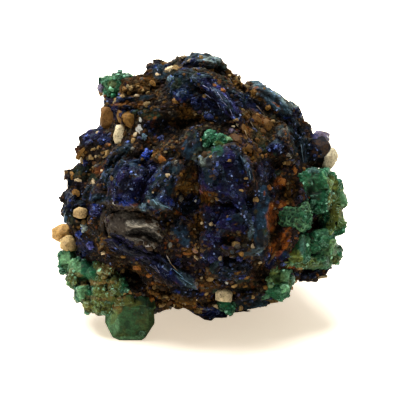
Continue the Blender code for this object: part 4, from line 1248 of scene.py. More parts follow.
@dataclass
class Ground:
    """What a surface is made of at each of its points.

    Attributes:
        tint: linear colour.
        plates: how thickly tablets cover it.
        crumbs: how grainy it is.
        shine: how glossy it looks: where painted sheen, highlights and glints show on the rock, and the
            chalcopyrite's roughness.
        turn: the way that its tablets run, in radians on the front grid.
    """

    tint: np.ndarray
    plates: np.ndarray
    crumbs: np.ndarray
    shine: np.ndarray
    turn: np.ndarray

    @classmethod
    def of(cls, count: int, zone: Zone) -> Ground:
        """Starts with one zone all over."""
        look = zone.value
        values = (np.full(count, value) for value in (look.plates, look.crumbs, look.shine, 0.0))
        return cls(np.tile(tint_of(zone), (count, 1)), *values)

    def lay(self, zone: Zone, share: np.ndarray, turn: float | None = None) -> None:
        """Lays a zone over what is there.

        Args:
            zone: what to lay.
            share: how much of it, 0 to 1, at each point.
            turn: the way that its tablets run, in degrees.
        """
        look = zone.value
        self.tint += (tint_of(zone) - self.tint) * share[:, None]
        self.plates += (look.plates - self.plates) * share
        self.crumbs += (look.crumbs - self.crumbs) * share
        self.shine += (look.shine - self.shine) * share
        if turn is not None:
            self.turn += (radians(turn) - self.turn) * share

    def lay_patches(
        self, patches: Sequence[Patch], points: np.ndarray, normals: np.ndarray, ragged: float
    ) -> None:
        """Lays patches over the seen side.

        Args:
            patches: what lies where.
            points: the surface's points.
            normals: its directions there.
            ragged: how uneven the patches' edges are.
        """
        across, down = VIEW.on_grid(points)
        front = VIEW.frontness(points, normals)
        across = across + wave(points, 0.9 * MM, 5) * ragged
        down = down + wave(points, 0.9 * MM, 6) * ragged
        for patch in patches:
            cover = eased(patch.reach(across, down), 1.15, 0.8)
            self.lay(patch.zone, front * patch.share * cover, patch.turn)


def hidden_ground(points: np.ndarray) -> Ground:
    """Says what the mass is made of where it isn't seen: the front's zones, strewn by broad lumps."""
    ground = Ground.of(len(points), Zone.CRUST)
    strewn = (
        (Zone.RUST, 5.5, 21, 0.05, 20), (Zone.UMBER_SHADE, 4.5, 22, 0.25, -40), (Zone.TEAL, 4.0, 23, 0.2, -60),
        (Zone.DARK, 6.0, 24, 0.0, 50), (Zone.VIOLET, 5.0, 25, 0.02, -30), (Zone.INDIGO, 4.0, 26, 0.2, 75),
        (Zone.MOSS, 3.5, 27, 0.35, 0), (Zone.ORANGE, 3.0, 28, 0.45, 10), (Zone.SLATE, 3.0, 29, 0.5, 60),
        (Zone.BLUE, 2.2, 30, 0.55, -70),
    )
    for zone, size, seed, start, turn in strewn:
        ground.lay(zone, 0.9 * eased(rough(points, size * MM, seed, 2), start, start + 0.12), turn)
    return ground


# The mass

@dataclass(frozen=True)
class Dent(Spot):
    """A hollow in the front, or a swell where its depth is below zero.

    Attributes:
        depth: its depth.
        rise: how far its middle is moved up the grid instead.
    """

    depth: float
    rise: float = 0.0


DENTS = each(
    Dent,
    (187, 201, 17, 15, 0, 1.1 * MM), (190, 176, 10, 12, 0, 0.8 * MM), (167, 129, 24, 10, 0, 1.0 * MM),
    (192, 123, 17, 7, 0, 0.8 * MM), (288, 190, 12, 18, 0, 2.0 * MM), (291, 218, 19, 15, 0, 1.6 * MM),
    (316, 226, 9, 10, 0, 2.0 * MM), (130, 278, 14, 13, 0, 1.0 * MM), (229, 240, 8, 9, 0, 0.9 * MM),
    (248, 155, 10, 6, 0, 0.7 * MM), (277, 163, 9, 6, 0, 0.8 * MM), (170, 221, 10, 8, 0, 0.6 * MM),
    (262, 272, 9, 9, 0, 0.9 * MM), (197, 225, 6, 14, 0, 0.6 * MM), (275, 232, 8, 22, -25, 0.9 * MM),
    (222, 172, 26, 26, 0, -0.8 * MM), (230, 214, 22, 16, 0, -0.5 * MM), (130, 183, 20, 22, 0, -0.9 * MM),
    (177, 319, 19, 11, 0, 0.0, 1.5 * MM), (152, 66, 13, 9, 15, 0.0, 0.8 * MM),
    (128, 207, 24, 6, -12, -0.9 * MM), (104, 221, 5, 12, 0, -0.5 * MM), (182, 88, 14, 14, 0, -0.6 * MM),
    (161, 188, 11, 19, 0, -0.5 * MM), (277, 147, 8, 7, 0, -0.6 * MM),
)

# Finer stretches in the azurite and in the crust: zone, size in millimetres, pattern, and where it starts
AZURITE_MIX = (
    (Zone.DARK, 1.5, 41, 0.1), (Zone.INDIGO, 1.2, 42, 0.2), (Zone.TEAL, 1.1, 44, 0.35),
    (Zone.BLUE, 0.8, 43, 0.5), (Zone.SHEEN, 0.7, 45, 0.62), (Zone.RUST, 0.9, 46, 0.5),
)
CRUST_MIX = (
    (Zone.UMBER_SHADE, 1.3, 51, 0.05), (Zone.DARK, 1.2, 54, 0.3), (Zone.MOSS, 1.4, 53, 0.45),
    (Zone.ORANGE, 0.8, 52, 0.5), (Zone.INDIGO, 0.9, 55, 0.55),
)

SLATE_FACE = Spot(262, 219, 9, 40, 0)


@dataclass(frozen=True)
class Plate(Spot):
    """A larger azurite plate that is seen.

    Attributes:
        lean: 0 where its flat side faces the viewer, 90 where its edge does.
        zone: its colour.
    """

    lean: float
    zone: Zone


SEEN_PLATES = grouped(Plate, {
    Zone.LILAC: (
        (203, 85, 26, 9, -42, 65), (217, 95, 32, 9, -48, 65), (231, 107, 30, 9, -52, 65),
    ),
    Zone.VIOLET: (
        (209, 90, 30, 9, -46, 60), (236, 113, 24, 8, -54, 60), (215, 165, 22, 14, -35, 25),
        (124, 184, 24, 14, 60, 25), (151, 176, 18, 8, 80, 40), (222, 212, 22, 12, -30, 30),
        (212, 222, 20, 10, 40, 35), (244, 222, 26, 8, 80, 45), (215, 238, 18, 9, -20, 35),
        (212, 257, 20, 9, -25, 35), (271, 262, 14, 8, -60, 40),
    ),
    Zone.SHEEN: (
        (224, 101, 32, 9, -50, 60), (278, 103, 36, 12, -40, 25), (260, 92, 18, 8, -25, 30),
        (292, 131, 18, 6, -62, 70), (247, 166, 20, 6, -68, 75), (158, 206, 22, 7, -25, 40),
        (150, 200, 14, 7, -60, 45), (188, 283, 22, 7, -30, 50), (196, 80, 20, 5, -25, 70),
        (191, 57, 14, 5, 25, 60), (203, 55, 14, 5, 0, 60), (214, 60, 12, 5, -35, 60),
        (221, 67, 10, 4, -50, 60), (200, 76, 28, 5, -6, 65), (254, 252, 24, 5, 18, 60),
        (251, 231, 18, 4, 85, 50), (216, 266, 16, 4, 42, 60),
    ),
    Zone.INDIGO: (
        (212, 106, 26, 10, -42, 50), (205, 99, 22, 9, -40, 55), (244, 172, 20, 6, -72, 70),
        (226, 178, 24, 14, -50, 25), (136, 190, 22, 12, 65, 30), (168, 266, 32, 8, -42, 60),
        (256, 210, 48, 6, 88, 60), (238, 200, 24, 12, -60, 30), (205, 262, 14, 8, -30, 40),
        (281, 254, 16, 8, -5, 40), (216, 315, 24, 7, -3, 45),
    ),
    Zone.TEAL: (
        (228, 91, 22, 6, -38, 70), (238, 97, 20, 7, -42, 60), (252, 100, 24, 6, -25, 60),
        (297, 138, 24, 7, -68, 70), (302, 148, 28, 7, -76, 70), (208, 175, 16, 8, -60, 40),
        (172, 182, 24, 10, 60, 35), (158, 186, 24, 10, 50, 35), (118, 168, 26, 8, 58, 60),
        (124, 153, 20, 7, 35, 60), (107, 178, 20, 6, 75, 65), (134, 98, 32, 6, 4, 60),
        (150, 97, 14, 5, 10, 60), (152, 108, 18, 6, -15, 55), (182, 76, 18, 8, -15, 35),
        (188, 84, 14, 9, -30, 30), (205, 66, 24, 6, -5, 60), (160, 66, 16, 7, 10, 40),
        (160, 75, 12, 6, 80, 50), (264, 236, 24, 9, 85, 10), (234, 218, 20, 8, 20, 45),
        (222, 274, 18, 7, -10, 45), (256, 305, 28, 8, 10, 45), (88, 192, 18, 8, 60, 45),
        (100, 198, 18, 6, 10, 50), (70, 180, 16, 6, 75, 60), (167, 170, 18, 9, 70, 35),
        (184, 278, 28, 8, -42, 55),
    ),
    Zone.TAN: (
        (276, 250, 34, 3, 60, 80),
    ),
    Zone.SLATE: (
        (274, 101, 42, 10, -38, 20), (305, 156, 18, 5, -85, 75), (241, 157, 16, 6, -55, 70),
        (236, 150, 14, 6, -40, 70), (197, 146, 16, 9, 70, 20), (189, 150, 20, 10, 72, 25),
        (135, 163, 20, 8, 15, 45), (181, 233, 24, 10, -62, 30), (263, 215, 58, 11, 88, 15),
    ),
    Zone.DARK: (
        (290, 120, 14, 8, -50, 40), (251, 176, 18, 6, -80, 75), (111, 160, 22, 7, 55, 65),
        (190, 64, 16, 7, 20, 50), (232, 266, 22, 8, 10, 45), (312, 270, 30, 8, 10, 40),
        (300, 276, 14, 8, 20, 45), (285, 290, 14, 8, 35, 45), (75, 200, 20, 8, 70, 50),
        (68, 212, 16, 7, 80, 50), (316, 148, 18, 7, -60, 50), (320, 160, 15, 10, 80, 20),
    ),
    Zone.NIGHT: (
        (153, 257, 34, 8, -32, 60),
    ),
    Zone.MOSS: (
        (204, 152, 18, 10, -30, 30), (140, 113, 20, 6, -8, 55), (176, 84, 12, 9, 60, 30),
        (222, 66, 16, 6, -50, 60),
    ),
    Zone.BLUE: (
        (166, 200, 18, 8, -30, 35), (122, 202, 18, 7, -15, 45),
    ),
    Zone.ORANGE: (
        (272, 220, 26, 10, 88, 25), (283, 243, 32, 10, 60, 30), (281, 204, 12, 7, 10, 30),
    ),
    Zone.RUST: (
        (290, 192, 24, 12, 80, 40), (240, 87, 18, 9, -35, 30), (231, 76, 16, 8, -50, 30),
    ),
})


def press(piece: bpy.types.Object, dents: Sequence[Dent]) -> None:
    """Pushes hollows and swells into the seen side of a piece."""
    points, normals = points_of(piece), normals_of(piece)
    across, down = VIEW.on_grid(points)
    depth, rise = np.zeros(len(points)), np.zeros(len(points))
    for dent in dents:
        cover = eased(dent.reach(across, down), 1.25, 0.25)
        depth += dent.depth * cover
        rise += dent.rise * cover
    points = points - VIEW.towards * (VIEW.frontness(points, normals) * depth)[:, None]
    move_to(piece, points + np.outer(rise, VIEW.up))


@dataclass
class Shell:
    """A part of the mass's outside, with what is known of each of its points.

    Attributes:
        piece: its mesh.
        points: its points.
        normals: its directions there.
        ground: what it is made of.
        shade: painted shade and light in its colour: below 1 in its hollows, above 1 on ridges and on
            undersides near the floor.
        smooth: where it is a smooth face on which nothing grows, 0 to 1.
    """

    piece: bpy.types.Object
    points: np.ndarray
    normals: np.ndarray
    ground: Ground
    shade: np.ndarray
    smooth: np.ndarray

    def choose(self, random: np.random.Generator, density: float, share: np.ndarray) -> np.ndarray:
        """Picks points at random.

        Args:
            random: the source of chance.
            density: how many are tried, as a share of all points.
            share: how often each one is kept, 0 to 1.

        Returns:
            The numbers of those kept, none of them near the ground.
        """
        chosen = random.choice(len(self.points), int(len(self.points) * density), replace=False)
        share = share * (1 - 0.95 * self.smooth)
        kept = (random.random(len(chosen)) < share[chosen]) & (self.points[chosen, 2] > 1.2 * MM)
        return chosen[kept]

    def tumbled(
        self, random: np.random.Generator, chosen: np.ndarray, lean: float, size: float, spread: float,
        shape: tuple[float, float], most: float = np.inf,
    ) -> np.ndarray:
        """Turns and sizes small things at random where they lie on chosen points.

        Args:
            random: the source of chance.
            chosen: the points' numbers.
            lean: how far they lean at most, in radians.
            size: their usual size.
            spread: how much that varies.
            shape: the least and the most of it that they measure in each direction.
            most: the largest, in usual sizes.

        Returns:
            For each, its three sized directions as columns.
        """
        count = len(chosen)
        runs, leans = random.normal(size=(count, 3)), random.uniform(-lean, lean, count)
        sizes = np.minimum(random.lognormal(0, spread, count), most)[:, None]
        sizes = sizes * random.uniform(*shape, (count, 3)) * size
        return frames_on(self.normals[chosen], runs, leans) * sizes[:, None, :]


@dataclass
class Mass:
    """The nodule itself, in shells that overlap inside it, so that each can be meshed finely.

    Attributes:
        node: the CAD node that it stands for.
        fine: the seen side's mesh spacing.
        coarse: the hidden side's.
        middle: where the seen side ends, along y.
        overlap: how far each shell reaches past a cut.
        ledge: how far apart the azurite's ledges are.
        ledge_height: how high they stand.
        line: how far apart the fine lines along the ledges are.
        line_height: how high those stand.
        crumb: the width of a crumb.
        crumb_height: how high it stands.
        plate_thickness: the thinnest and the thickest of the larger plates.
        plate_sunk: how deep a plate is sunk in, as a share of its width.
        clear: how far from a cut a plate has to be.
        seed: varies the plates.
    """

    node: str = "azurite_mass"
    fine: float = 0.18 * MM
    coarse: float = 0.26 * MM
    middle: float = 1.0 * MM
    overlap: float = 0.6 * MM
    ledge: float = 1.0 * MM
    ledge_height: float = 0.32 * MM
    line: float = 0.36 * MM
    line_height: float = 0.1 * MM
    crumb: float = 0.95 * MM
    crumb_height: float = 0.34 * MM
    plate_thickness: tuple[float, float] = (0.32 * MM, 0.55 * MM)
    plate_sunk: float = 0.25
    clear: float = 0.2 * MM
    seed: int = 19

    def build(self) -> list[Shell]:
        """Builds and dresses the shells, and returns them."""
        finish = RockFinish().make()
        front = ((0, self.middle + self.overlap, 0), (0, 1, 0))
        left = ((self.overlap, 0, 0), (1, 0, 0))
        right = ((-self.overlap, 0, 0), (-1, 0, 0))
        back = ((0, self.middle - self.overlap, 0), (0, -1, 0))
        whole = Surface(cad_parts[self.node])
        shells = []
        for name, voxel, cuts in (
            ("azurite_mass_front_left", self.fine, (front, left)),
            ("azurite_mass_front_right", self.fine, (front, right)),
            ("azurite_mass_back", self.coarse, (back,)),
        ):
            piece = solid_copy(name, self.node)
            for place, normal in cuts:
                cut_off(piece, place, normal)
            self.grow_plates(piece, whole, cuts)
            modify(piece, "REMESH", mode="VOXEL", voxel_size=voxel, adaptivity=0.0)
            press(piece, DENTS)
            shell = self.roughened(piece, cuts)
            for cut in cuts:
                self.thin_out(piece, *cut)
            dress(piece, finish, (self.node,))
            shells.append(shell)
        return shells

    def grow_plates(self, piece: bpy.types.Object, surface: Surface, cuts: Sequence[tuple]) -> None:
        """Joins to a shell the seen plates that lie on it, each sunk in along its root."""
        random = np.random.default_rng(self.seed)
        copies = Copies()
        for plate in SEEN_PLATES:
            lean_in, thick = random.uniform(-0.15, 0.15), random.uniform(*self.plate_thickness)
            place, normal = surface.meet(plate.x, plate.y)
            mine = all((np.array(at) - place) @ np.array(way) > self.clear for at, way in cuts)
            if not mine or normal @ VIEW.towards < 0:
                continue
            along, across = VIEW.turned(radians(plate.turn))
            along, lean = unit(along - VIEW.towards * lean_in), radians(plate.lean)
            wide = cos(lean) * across + sin(lean) * VIEW.towards
            axes = np.stack([along, wide, np.cross(along, wide)], axis=1)
            size = np.array((plate.long * VIEW.step, plate.wide * VIEW.step, thick))
            place = place - VIEW.towards * sin(lean) * size[1] * self.plate_sunk
            copies.add(axes * size, place, np.zeros(3))
        if not copies.places:
            return
        plates = copies.joined("plates", [tablet(0.3), tablet(0.6)])
        pick(piece, plates)
        bpy.ops.object.join()

    def roughened(self, piece: bpy.types.Object, cuts: Sequence[tuple]) -> Shell:
        """Raises ledges and crumbs on a shell, except on its cuts, and paints it."""
        points, normals = points_of(piece), normals_of(piece)
        ground = self.ground(points, normals)
        run = VIEW.runs(ground.turn)
        across = np.cross(np.broadcast_to(VIEW.towards, run.shape), run)
        phase = np.einsum("ij,ij->i", points, across) / self.ledge + 1.3 * rough(points, 2.2 * MM, 3)
        saw = phase - np.floor(phase)
        ledges = (saw - eased(saw, 0.75, 1.0) * saw - 0.4) * (0.5 + 0.8 * wave(points, 1.7 * MM, 9))
        near, second, mark = grains(points, self.crumb, 40)
        crumbs = eased(second - near, 0.0, 0.45) * (0.4 + 0.9 * mark) - 0.5
        fine_near, fine_second, _ = grains(points, self.crumb * 0.5, 50)
        fine = eased(fine_second - fine_near, 0.0, 0.4) - 0.6
        lines = np.einsum("ij,ij->i", points, across) / self.line + 1.1 * rough(points, 0.9 * MM, 12)
        lines = np.abs(lines - np.floor(lines) - 0.5) * 2 - 0.5
        height = ground.plates * (ledges * self.ledge_height + lines * self.line_height)
        height += (0.03 + ground.crumbs) * crumbs * self.crumb_height
        height += (0.06 + 0.35 * ground.crumbs) * fine * self.crumb_height
        smooth = self.smoothness(points, normals)
        height *= eased(points[:, 2], 0.15 * MM, 1.5 * MM) * (1 - 0.8 * smooth)
        for place, normal in cuts:
            height *= eased(np.abs((np.array(place) - points) @ np.array(normal)), 0.05 * MM, 0.3 * MM)
        points = points + normals * height[:, None]
        move_to(piece, points)
        small = relief_of(piece, 0.12 * MM, 5)
        medium = relief_of(piece, 0.4 * MM, 30)
        broad = relief_of(piece, 1.1 * MM, 160)
        # painted shade and light, multiplied into the tint: darker in hollows, lighter on ridges, and lighter
        # on undersides near the floor
        shade = (1 - 0.65 * eased(-medium, 0.05, 0.8)) * (1 - 0.75 * eased(-broad, 0.05, 0.9))
        shade *= 1 + 0.4 * eased(medium, 0.2, 0.9) + 0.4 * eased(broad, 0.1, 0.9)
        shade *= 1 + 1.6 * eased(-normals[:, 2], 0.0, 0.7) * eased(points[:, 2], 9 * MM, 5 * MM)
        paint(piece, "tint", ground.tint * shade[:, None])
        paint(piece, "crumbs", ground.crumbs * np.minimum(shade, 1))
        paint(piece, "shine", ground.shine * np.minimum(shade, 1.3))
        paint(piece, "relief", np.clip(0.75 * small + 0.4 * medium, -1, 1))
        paint(piece, "strata", phase)
        paint(piece, "laminae", ground.plates * np.minimum(shade, 1) * (1 - 0.6 * smooth))
        return Shell(piece, points, normals_of(piece), ground, shade, smooth)

    @staticmethod
    def thin_out(piece: bpy.types.Object, place: Sequence[float], normal: Sequence[float]) -> None:
        """Joins the many faces of a cut, which lies inside the nodule, into few."""
        middles = np.empty(len(piece.data.polygons) * 3)
        piece.data.polygons.foreach_get("center", middles)
        depth = (np.array(place) - middles.reshape(-1, 3)) @ np.array(normal)
        with edit(piece):
            bpy.ops.mesh.select_mode(type="FACE")
            bpy.ops.mesh.select_all(action="DESELECT")
        piece.data.polygons.foreach_set("select", np.abs(depth) < 0.04 * MM)
        pick(piece)
        bpy.ops.object.mode_set(mode="EDIT")
        bpy.ops.mesh.dissolve_limited(angle_limit=radians(4))
        bpy.ops.mesh.select_mode(type="VERT")
        bpy.ops.object.mode_set(mode="OBJECT")

    @staticmethod
    def ground(points: np.ndarray, normals: np.ndarray) -> Ground:
        """Says what the mass is made of at points of its surface."""
        ground = hidden_ground(points)
        ground.lay(Zone.CRUST, 0.7 * VIEW.frontness(points, normals), 0.0)
        ground.lay_patches(MASS_PATCHES, points, normals, 2.2)
        plates = [
            Patch(p.x, p.y, p.long * 0.5, 1 + p.wide * 0.5 * cos(radians(p.lean)), p.turn, p.zone, 0.7)
            for p in SEEN_PLATES
        ]
        ground.lay_patches(plates, points, normals, 1.0)
        azurite = eased(ground.plates, 0.35, 0.7) * (1 - 0.7 * Mass.smoothness(points, normals))
        for mix, cover, most in ((AZURITE_MIX, azurite, 0.75), (CRUST_MIX, 1 - azurite, 0.7)):
            for zone, size, seed, start in mix:
                plates, crumbs = ground.plates.copy(), ground.crumbs.copy()
                ground.lay(zone, eased(rough(points, size * MM, seed, 2), start, start + 0.15) * cover * most)
                ground.plates, ground.crumbs = (plates + ground.plates) / 2, (crumbs + ground.crumbs) / 2
        return ground

    @staticmethod
    def smoothness(points: np.ndarray, normals: np.ndarray) -> np.ndarray:
        """Tells where the mass has a smooth flat face: on its slate-blue side."""
        far = SLATE_FACE.reach(*VIEW.on_grid(points))
        return VIEW.frontness(points, normals) * eased(far, 1.2, 0.8)


@dataclass
class Tablets:
    """Small azurite tablets that grow on the mass.

    Attributes:
        density: how many are tried, as a share of the mass's points, of which a full cover keeps nine in ten.
        length: a tablet's usual length.
        width: its usual width.
        thickness: its usual thickness.
        over: where longer ones lie over the chalcopyrite's lower left border, with half its sizes.
        lying: how many of those there are.
        dark: their colours.
        slivers: the thin pale ones seen on edge: middle and length in steps, turn, and colour.
        sliver_width: how far a sliver reaches in.
        sliver_thickness: how thin it looks.
        seed: picks their places.
    """

    density: float = 0.022
    length: float = 0.62 * MM
    width: float = 0.4 * MM
    thickness: float = 0.12 * MM
    over: Spot = Spot(130, 247, 21, 5.5, -26)
    lying: int = 90
    dark: tuple[Zone, ...] = (Zone.DARK, Zone.DARK, Zone.DARK, Zone.VIOLET)
    # The blue-grey and lilac slivers are painted highlights on plate edges.
    slivers: tuple[tuple[float, float, float, float, str], ...] = (
        (168, 258, 15, -62, "#a89e8c"), (174, 267, 12, -46, "#8c7654"), (157, 269, 9, -58, "#6d6a78"),
        (250, 110, 26, -54, "#6f5f48"), (262, 112, 16, -50, "#6f5f48"), (254, 128, 14, -62, "#6f5f48"),
        (247, 136, 12, -70, "#8b7754"), (302, 152, 20, -82, "#5f7480"), (243, 160, 11, -58, "#4c5e6c"),
        (250, 175, 9, -78, "#4c5e6c"), (213, 90, 8, -40, "#7b7e9c"), (220, 96, 9, -56, "#83869f"),
        (225, 104, 7, -46, "#6f7290"), (231, 112, 9, -66, "#7b7e9c"), (208, 96, 8, -38, "#6f7290"),
        (219, 106, 8, -62, "#6f7290"), (206, 87, 7, -30, "#7b7e9c"), (227, 98, 7, -50, "#6f7290"),
        (188, 73, 18, -12, "#74868a"), (202, 73, 18, -6, "#74868a"), (178, 273, 14, -40, "#5f8498"),
        (186, 281, 14, -32, "#5f8498"), (164, 206, 9, -18, "#6d93a2"), (155, 202, 7, -52, "#6d93a2"),
    )
    sliver_width: float = 0.9 * MM
    sliver_thickness: float = 0.085 * MM
    seed: int = 4

    def build(self, shells: Sequence[Shell]) -> None:
        """Builds the tablets as one piece for each shell."""
        random = np.random.default_rng(self.seed)
        finish = TabletFinish("azurite_tablets_glassy").make()
        templates = [tablet(0.5), tablet(0.9)]
        for shell in shells:
            copies = Copies()
            chosen = shell.choose(random, self.density, shell.ground.plates * 0.9)
            count = len(chosen)
            runs = VIEW.runs(shell.ground.turn[chosen] + random.normal(0, 0.45, count))
            runs = runs + random.normal(0, 0.25, (count, 3))
            axes = frames_on(shell.normals[chosen], runs, random.uniform(0.05, 0.6, count))
            size = random.lognormal(0, 0.32, count)[:, None] * (self.length, self.width, self.thickness)
            sunk = random.uniform(-0.1, 0.06, count)[:, None] * MM
            light = shell.shade[chosen] * random.lognormal(-0.25, 0.75, count)
            places = shell.points[chosen] + shell.normals[chosen] * sunk
            copies.add(axes * size[:, None, :], places, shell.ground.tint[chosen] * light[:, None])
            piece = copies.joined(shell.piece.name.replace("mass", "tablets"), templates)
            dress(piece, finish)

    def lay_over(self, surface: Surface) -> None:
        """Builds the tablets placed one by one: those over the chalcopyrite, and the pale slivers."""
        random = np.random.default_rng(self.seed)
        copies = Copies()
        tints = palette(self.dark)
        for far, near in random.uniform(-1, 1, (self.lying, 2)):
            place, normal = surface.meet(*self.over.at(self.over.long * far, self.over.wide * near))
            run, _ = VIEW.turned(radians(self.over.turn) + random.normal(0, 0.16))
            axes = frames_on(normal[None], run[None], random.uniform(0.1, 0.9, 1))
            size = np.array([random.uniform(*ends) for ends in ((1.0, 2.4), (0.4, 0.8), (0.15, 0.3))]) * MM
            copies.add(axes * size, place, tints[random.integers(0, len(tints))] * random.uniform(0.2, 0.9))
        for x, y, length, turn, colour in self.slivers:
            place, _ = surface.meet(x, y)
            run, _ = VIEW.turned(radians(turn))
            size = np.array((length * VIEW.step, self.sliver_width, self.sliver_thickness))
            axes = np.stack([run, VIEW.towards, np.cross(run, VIEW.towards)], axis=1)
            copies.add(axes * size, place, tint_of(colour) * random.uniform(0.7, 1.1))
        piece = copies.joined("azurite_plates_over_chalcopyrite", [tablet(0.5), tablet(0.9)])
        dress(piece, TabletFinish("azurite_plates_dark", pale="#27264a").make())


@dataclass
class Crumbs:
    """Iron oxide crumbs and fine sand over the mass, and in the seam round the chalcopyrite.

    Attributes:
        density: how many are tried, as a share of the mass's points.
        size: a crumb's usual width.
        sunk: how deep it is sunk in.
        colours: their colours.
        seam: the chalcopyrite's border, with half its sizes.
        in_seam: how many lie along it.
        seam_colours: their colours.
        seed: picks their places.
    """

    density: float = 0.016
    size: float = 0.42 * MM
    sunk: float = 0.06 * MM
    colours: tuple[str, ...] = (
        "#33240f", "#513c17", "#1f160c", "#67512a", "#3a372d", "#5c3e17", "#8a7b58", "#181e3a",
        "#1c1434", "#22343c",
    )
    seam: Spot = Spot(133, 228, 31, 19, -28)
    in_seam: int = 90
    seam_colours: tuple[str, ...] = ("#2e2821", "#3a3229", "#1c1712", "#453d33", "#241a12", "#17152a")
    seed: int = 8

    def build(self, shells: Sequence[Shell], surface: Surface) -> None:
        """Builds the crumbs as one piece."""
        random = np.random.default_rng(self.seed)
        copies = Copies()
        shades = palette(self.colours)
        for shell in shells:
            chosen = shell.choose(random, self.density, shell.ground.crumbs * 0.8)
            axes = shell.tumbled(random, chosen, 1.0, self.size, 0.4, (0.6, 1.1))
            tints = shades[random.integers(0, len(shades), len(chosen))] * 0.7
            tints = tints + shell.ground.tint[chosen] * 0.4
            light = shell.shade[chosen] * random.uniform(0.35, 1.45, len(chosen))
            places = shell.points[chosen] - shell.normals[chosen] * self.sunk
            copies.add(axes, places, tints * light[:, None])
        self.fill_seam(copies, surface, random)
        piece = copies.joined("iron_oxide_crumbs", [chip(1, 5), chip(2, 6), chip(3, 4)])
        dress(piece, GrainFinish("iron_oxide_crumbs_dull", stained=0.4, roughness=0.8).make())

    def fill_seam(self, copies: Copies, surface: Surface, random: np.random.Generator) -> None:
        """Strews crumbs along the uneven border of the chalcopyrite."""
        seam, shades = self.seam, palette(self.seam_colours)
        for angle in np.linspace(0, 2 * pi, self.in_seam, endpoint=False):
            reach = random.normal(0.97, 0.13) + 0.08 * sin(3 * angle + 1)
            at = seam.at(seam.long * cos(angle) * reach, seam.wide * sin(angle) * reach)
            place, normal = surface.meet(*at)
            axes = frames_on(normal[None], random.normal(size=(1, 3)), random.uniform(-1, 1, 1))
            size = random.lognormal(0.1, 0.4) * random.uniform(0.6, 1.1, 3) * self.size
            tint = shades[random.integers(0, len(shades))] * random.uniform(0.4, 1.2)
            copies.add(axes * size, place, tint)


class Sand(Enum):
    """The kinds of sand grain, by colour."""

    CREAM = "#bda883"
    TAN = "#8b7145"
    AMBER = "#735222"
    ORANGE = "#7d4b1a"
    WHITE = "#b9b9b2"
    GREY = "#706e64"
    GOLD = "#54380f"
    BROWN = "#4a3014"
    BLACK = "#0d0e18"
    LAVENDER = "#635c72"


@dataclass(frozen=True)
class Grain(Spot):
    """A sand grain that is seen, of a kind."""

    kind: Sand


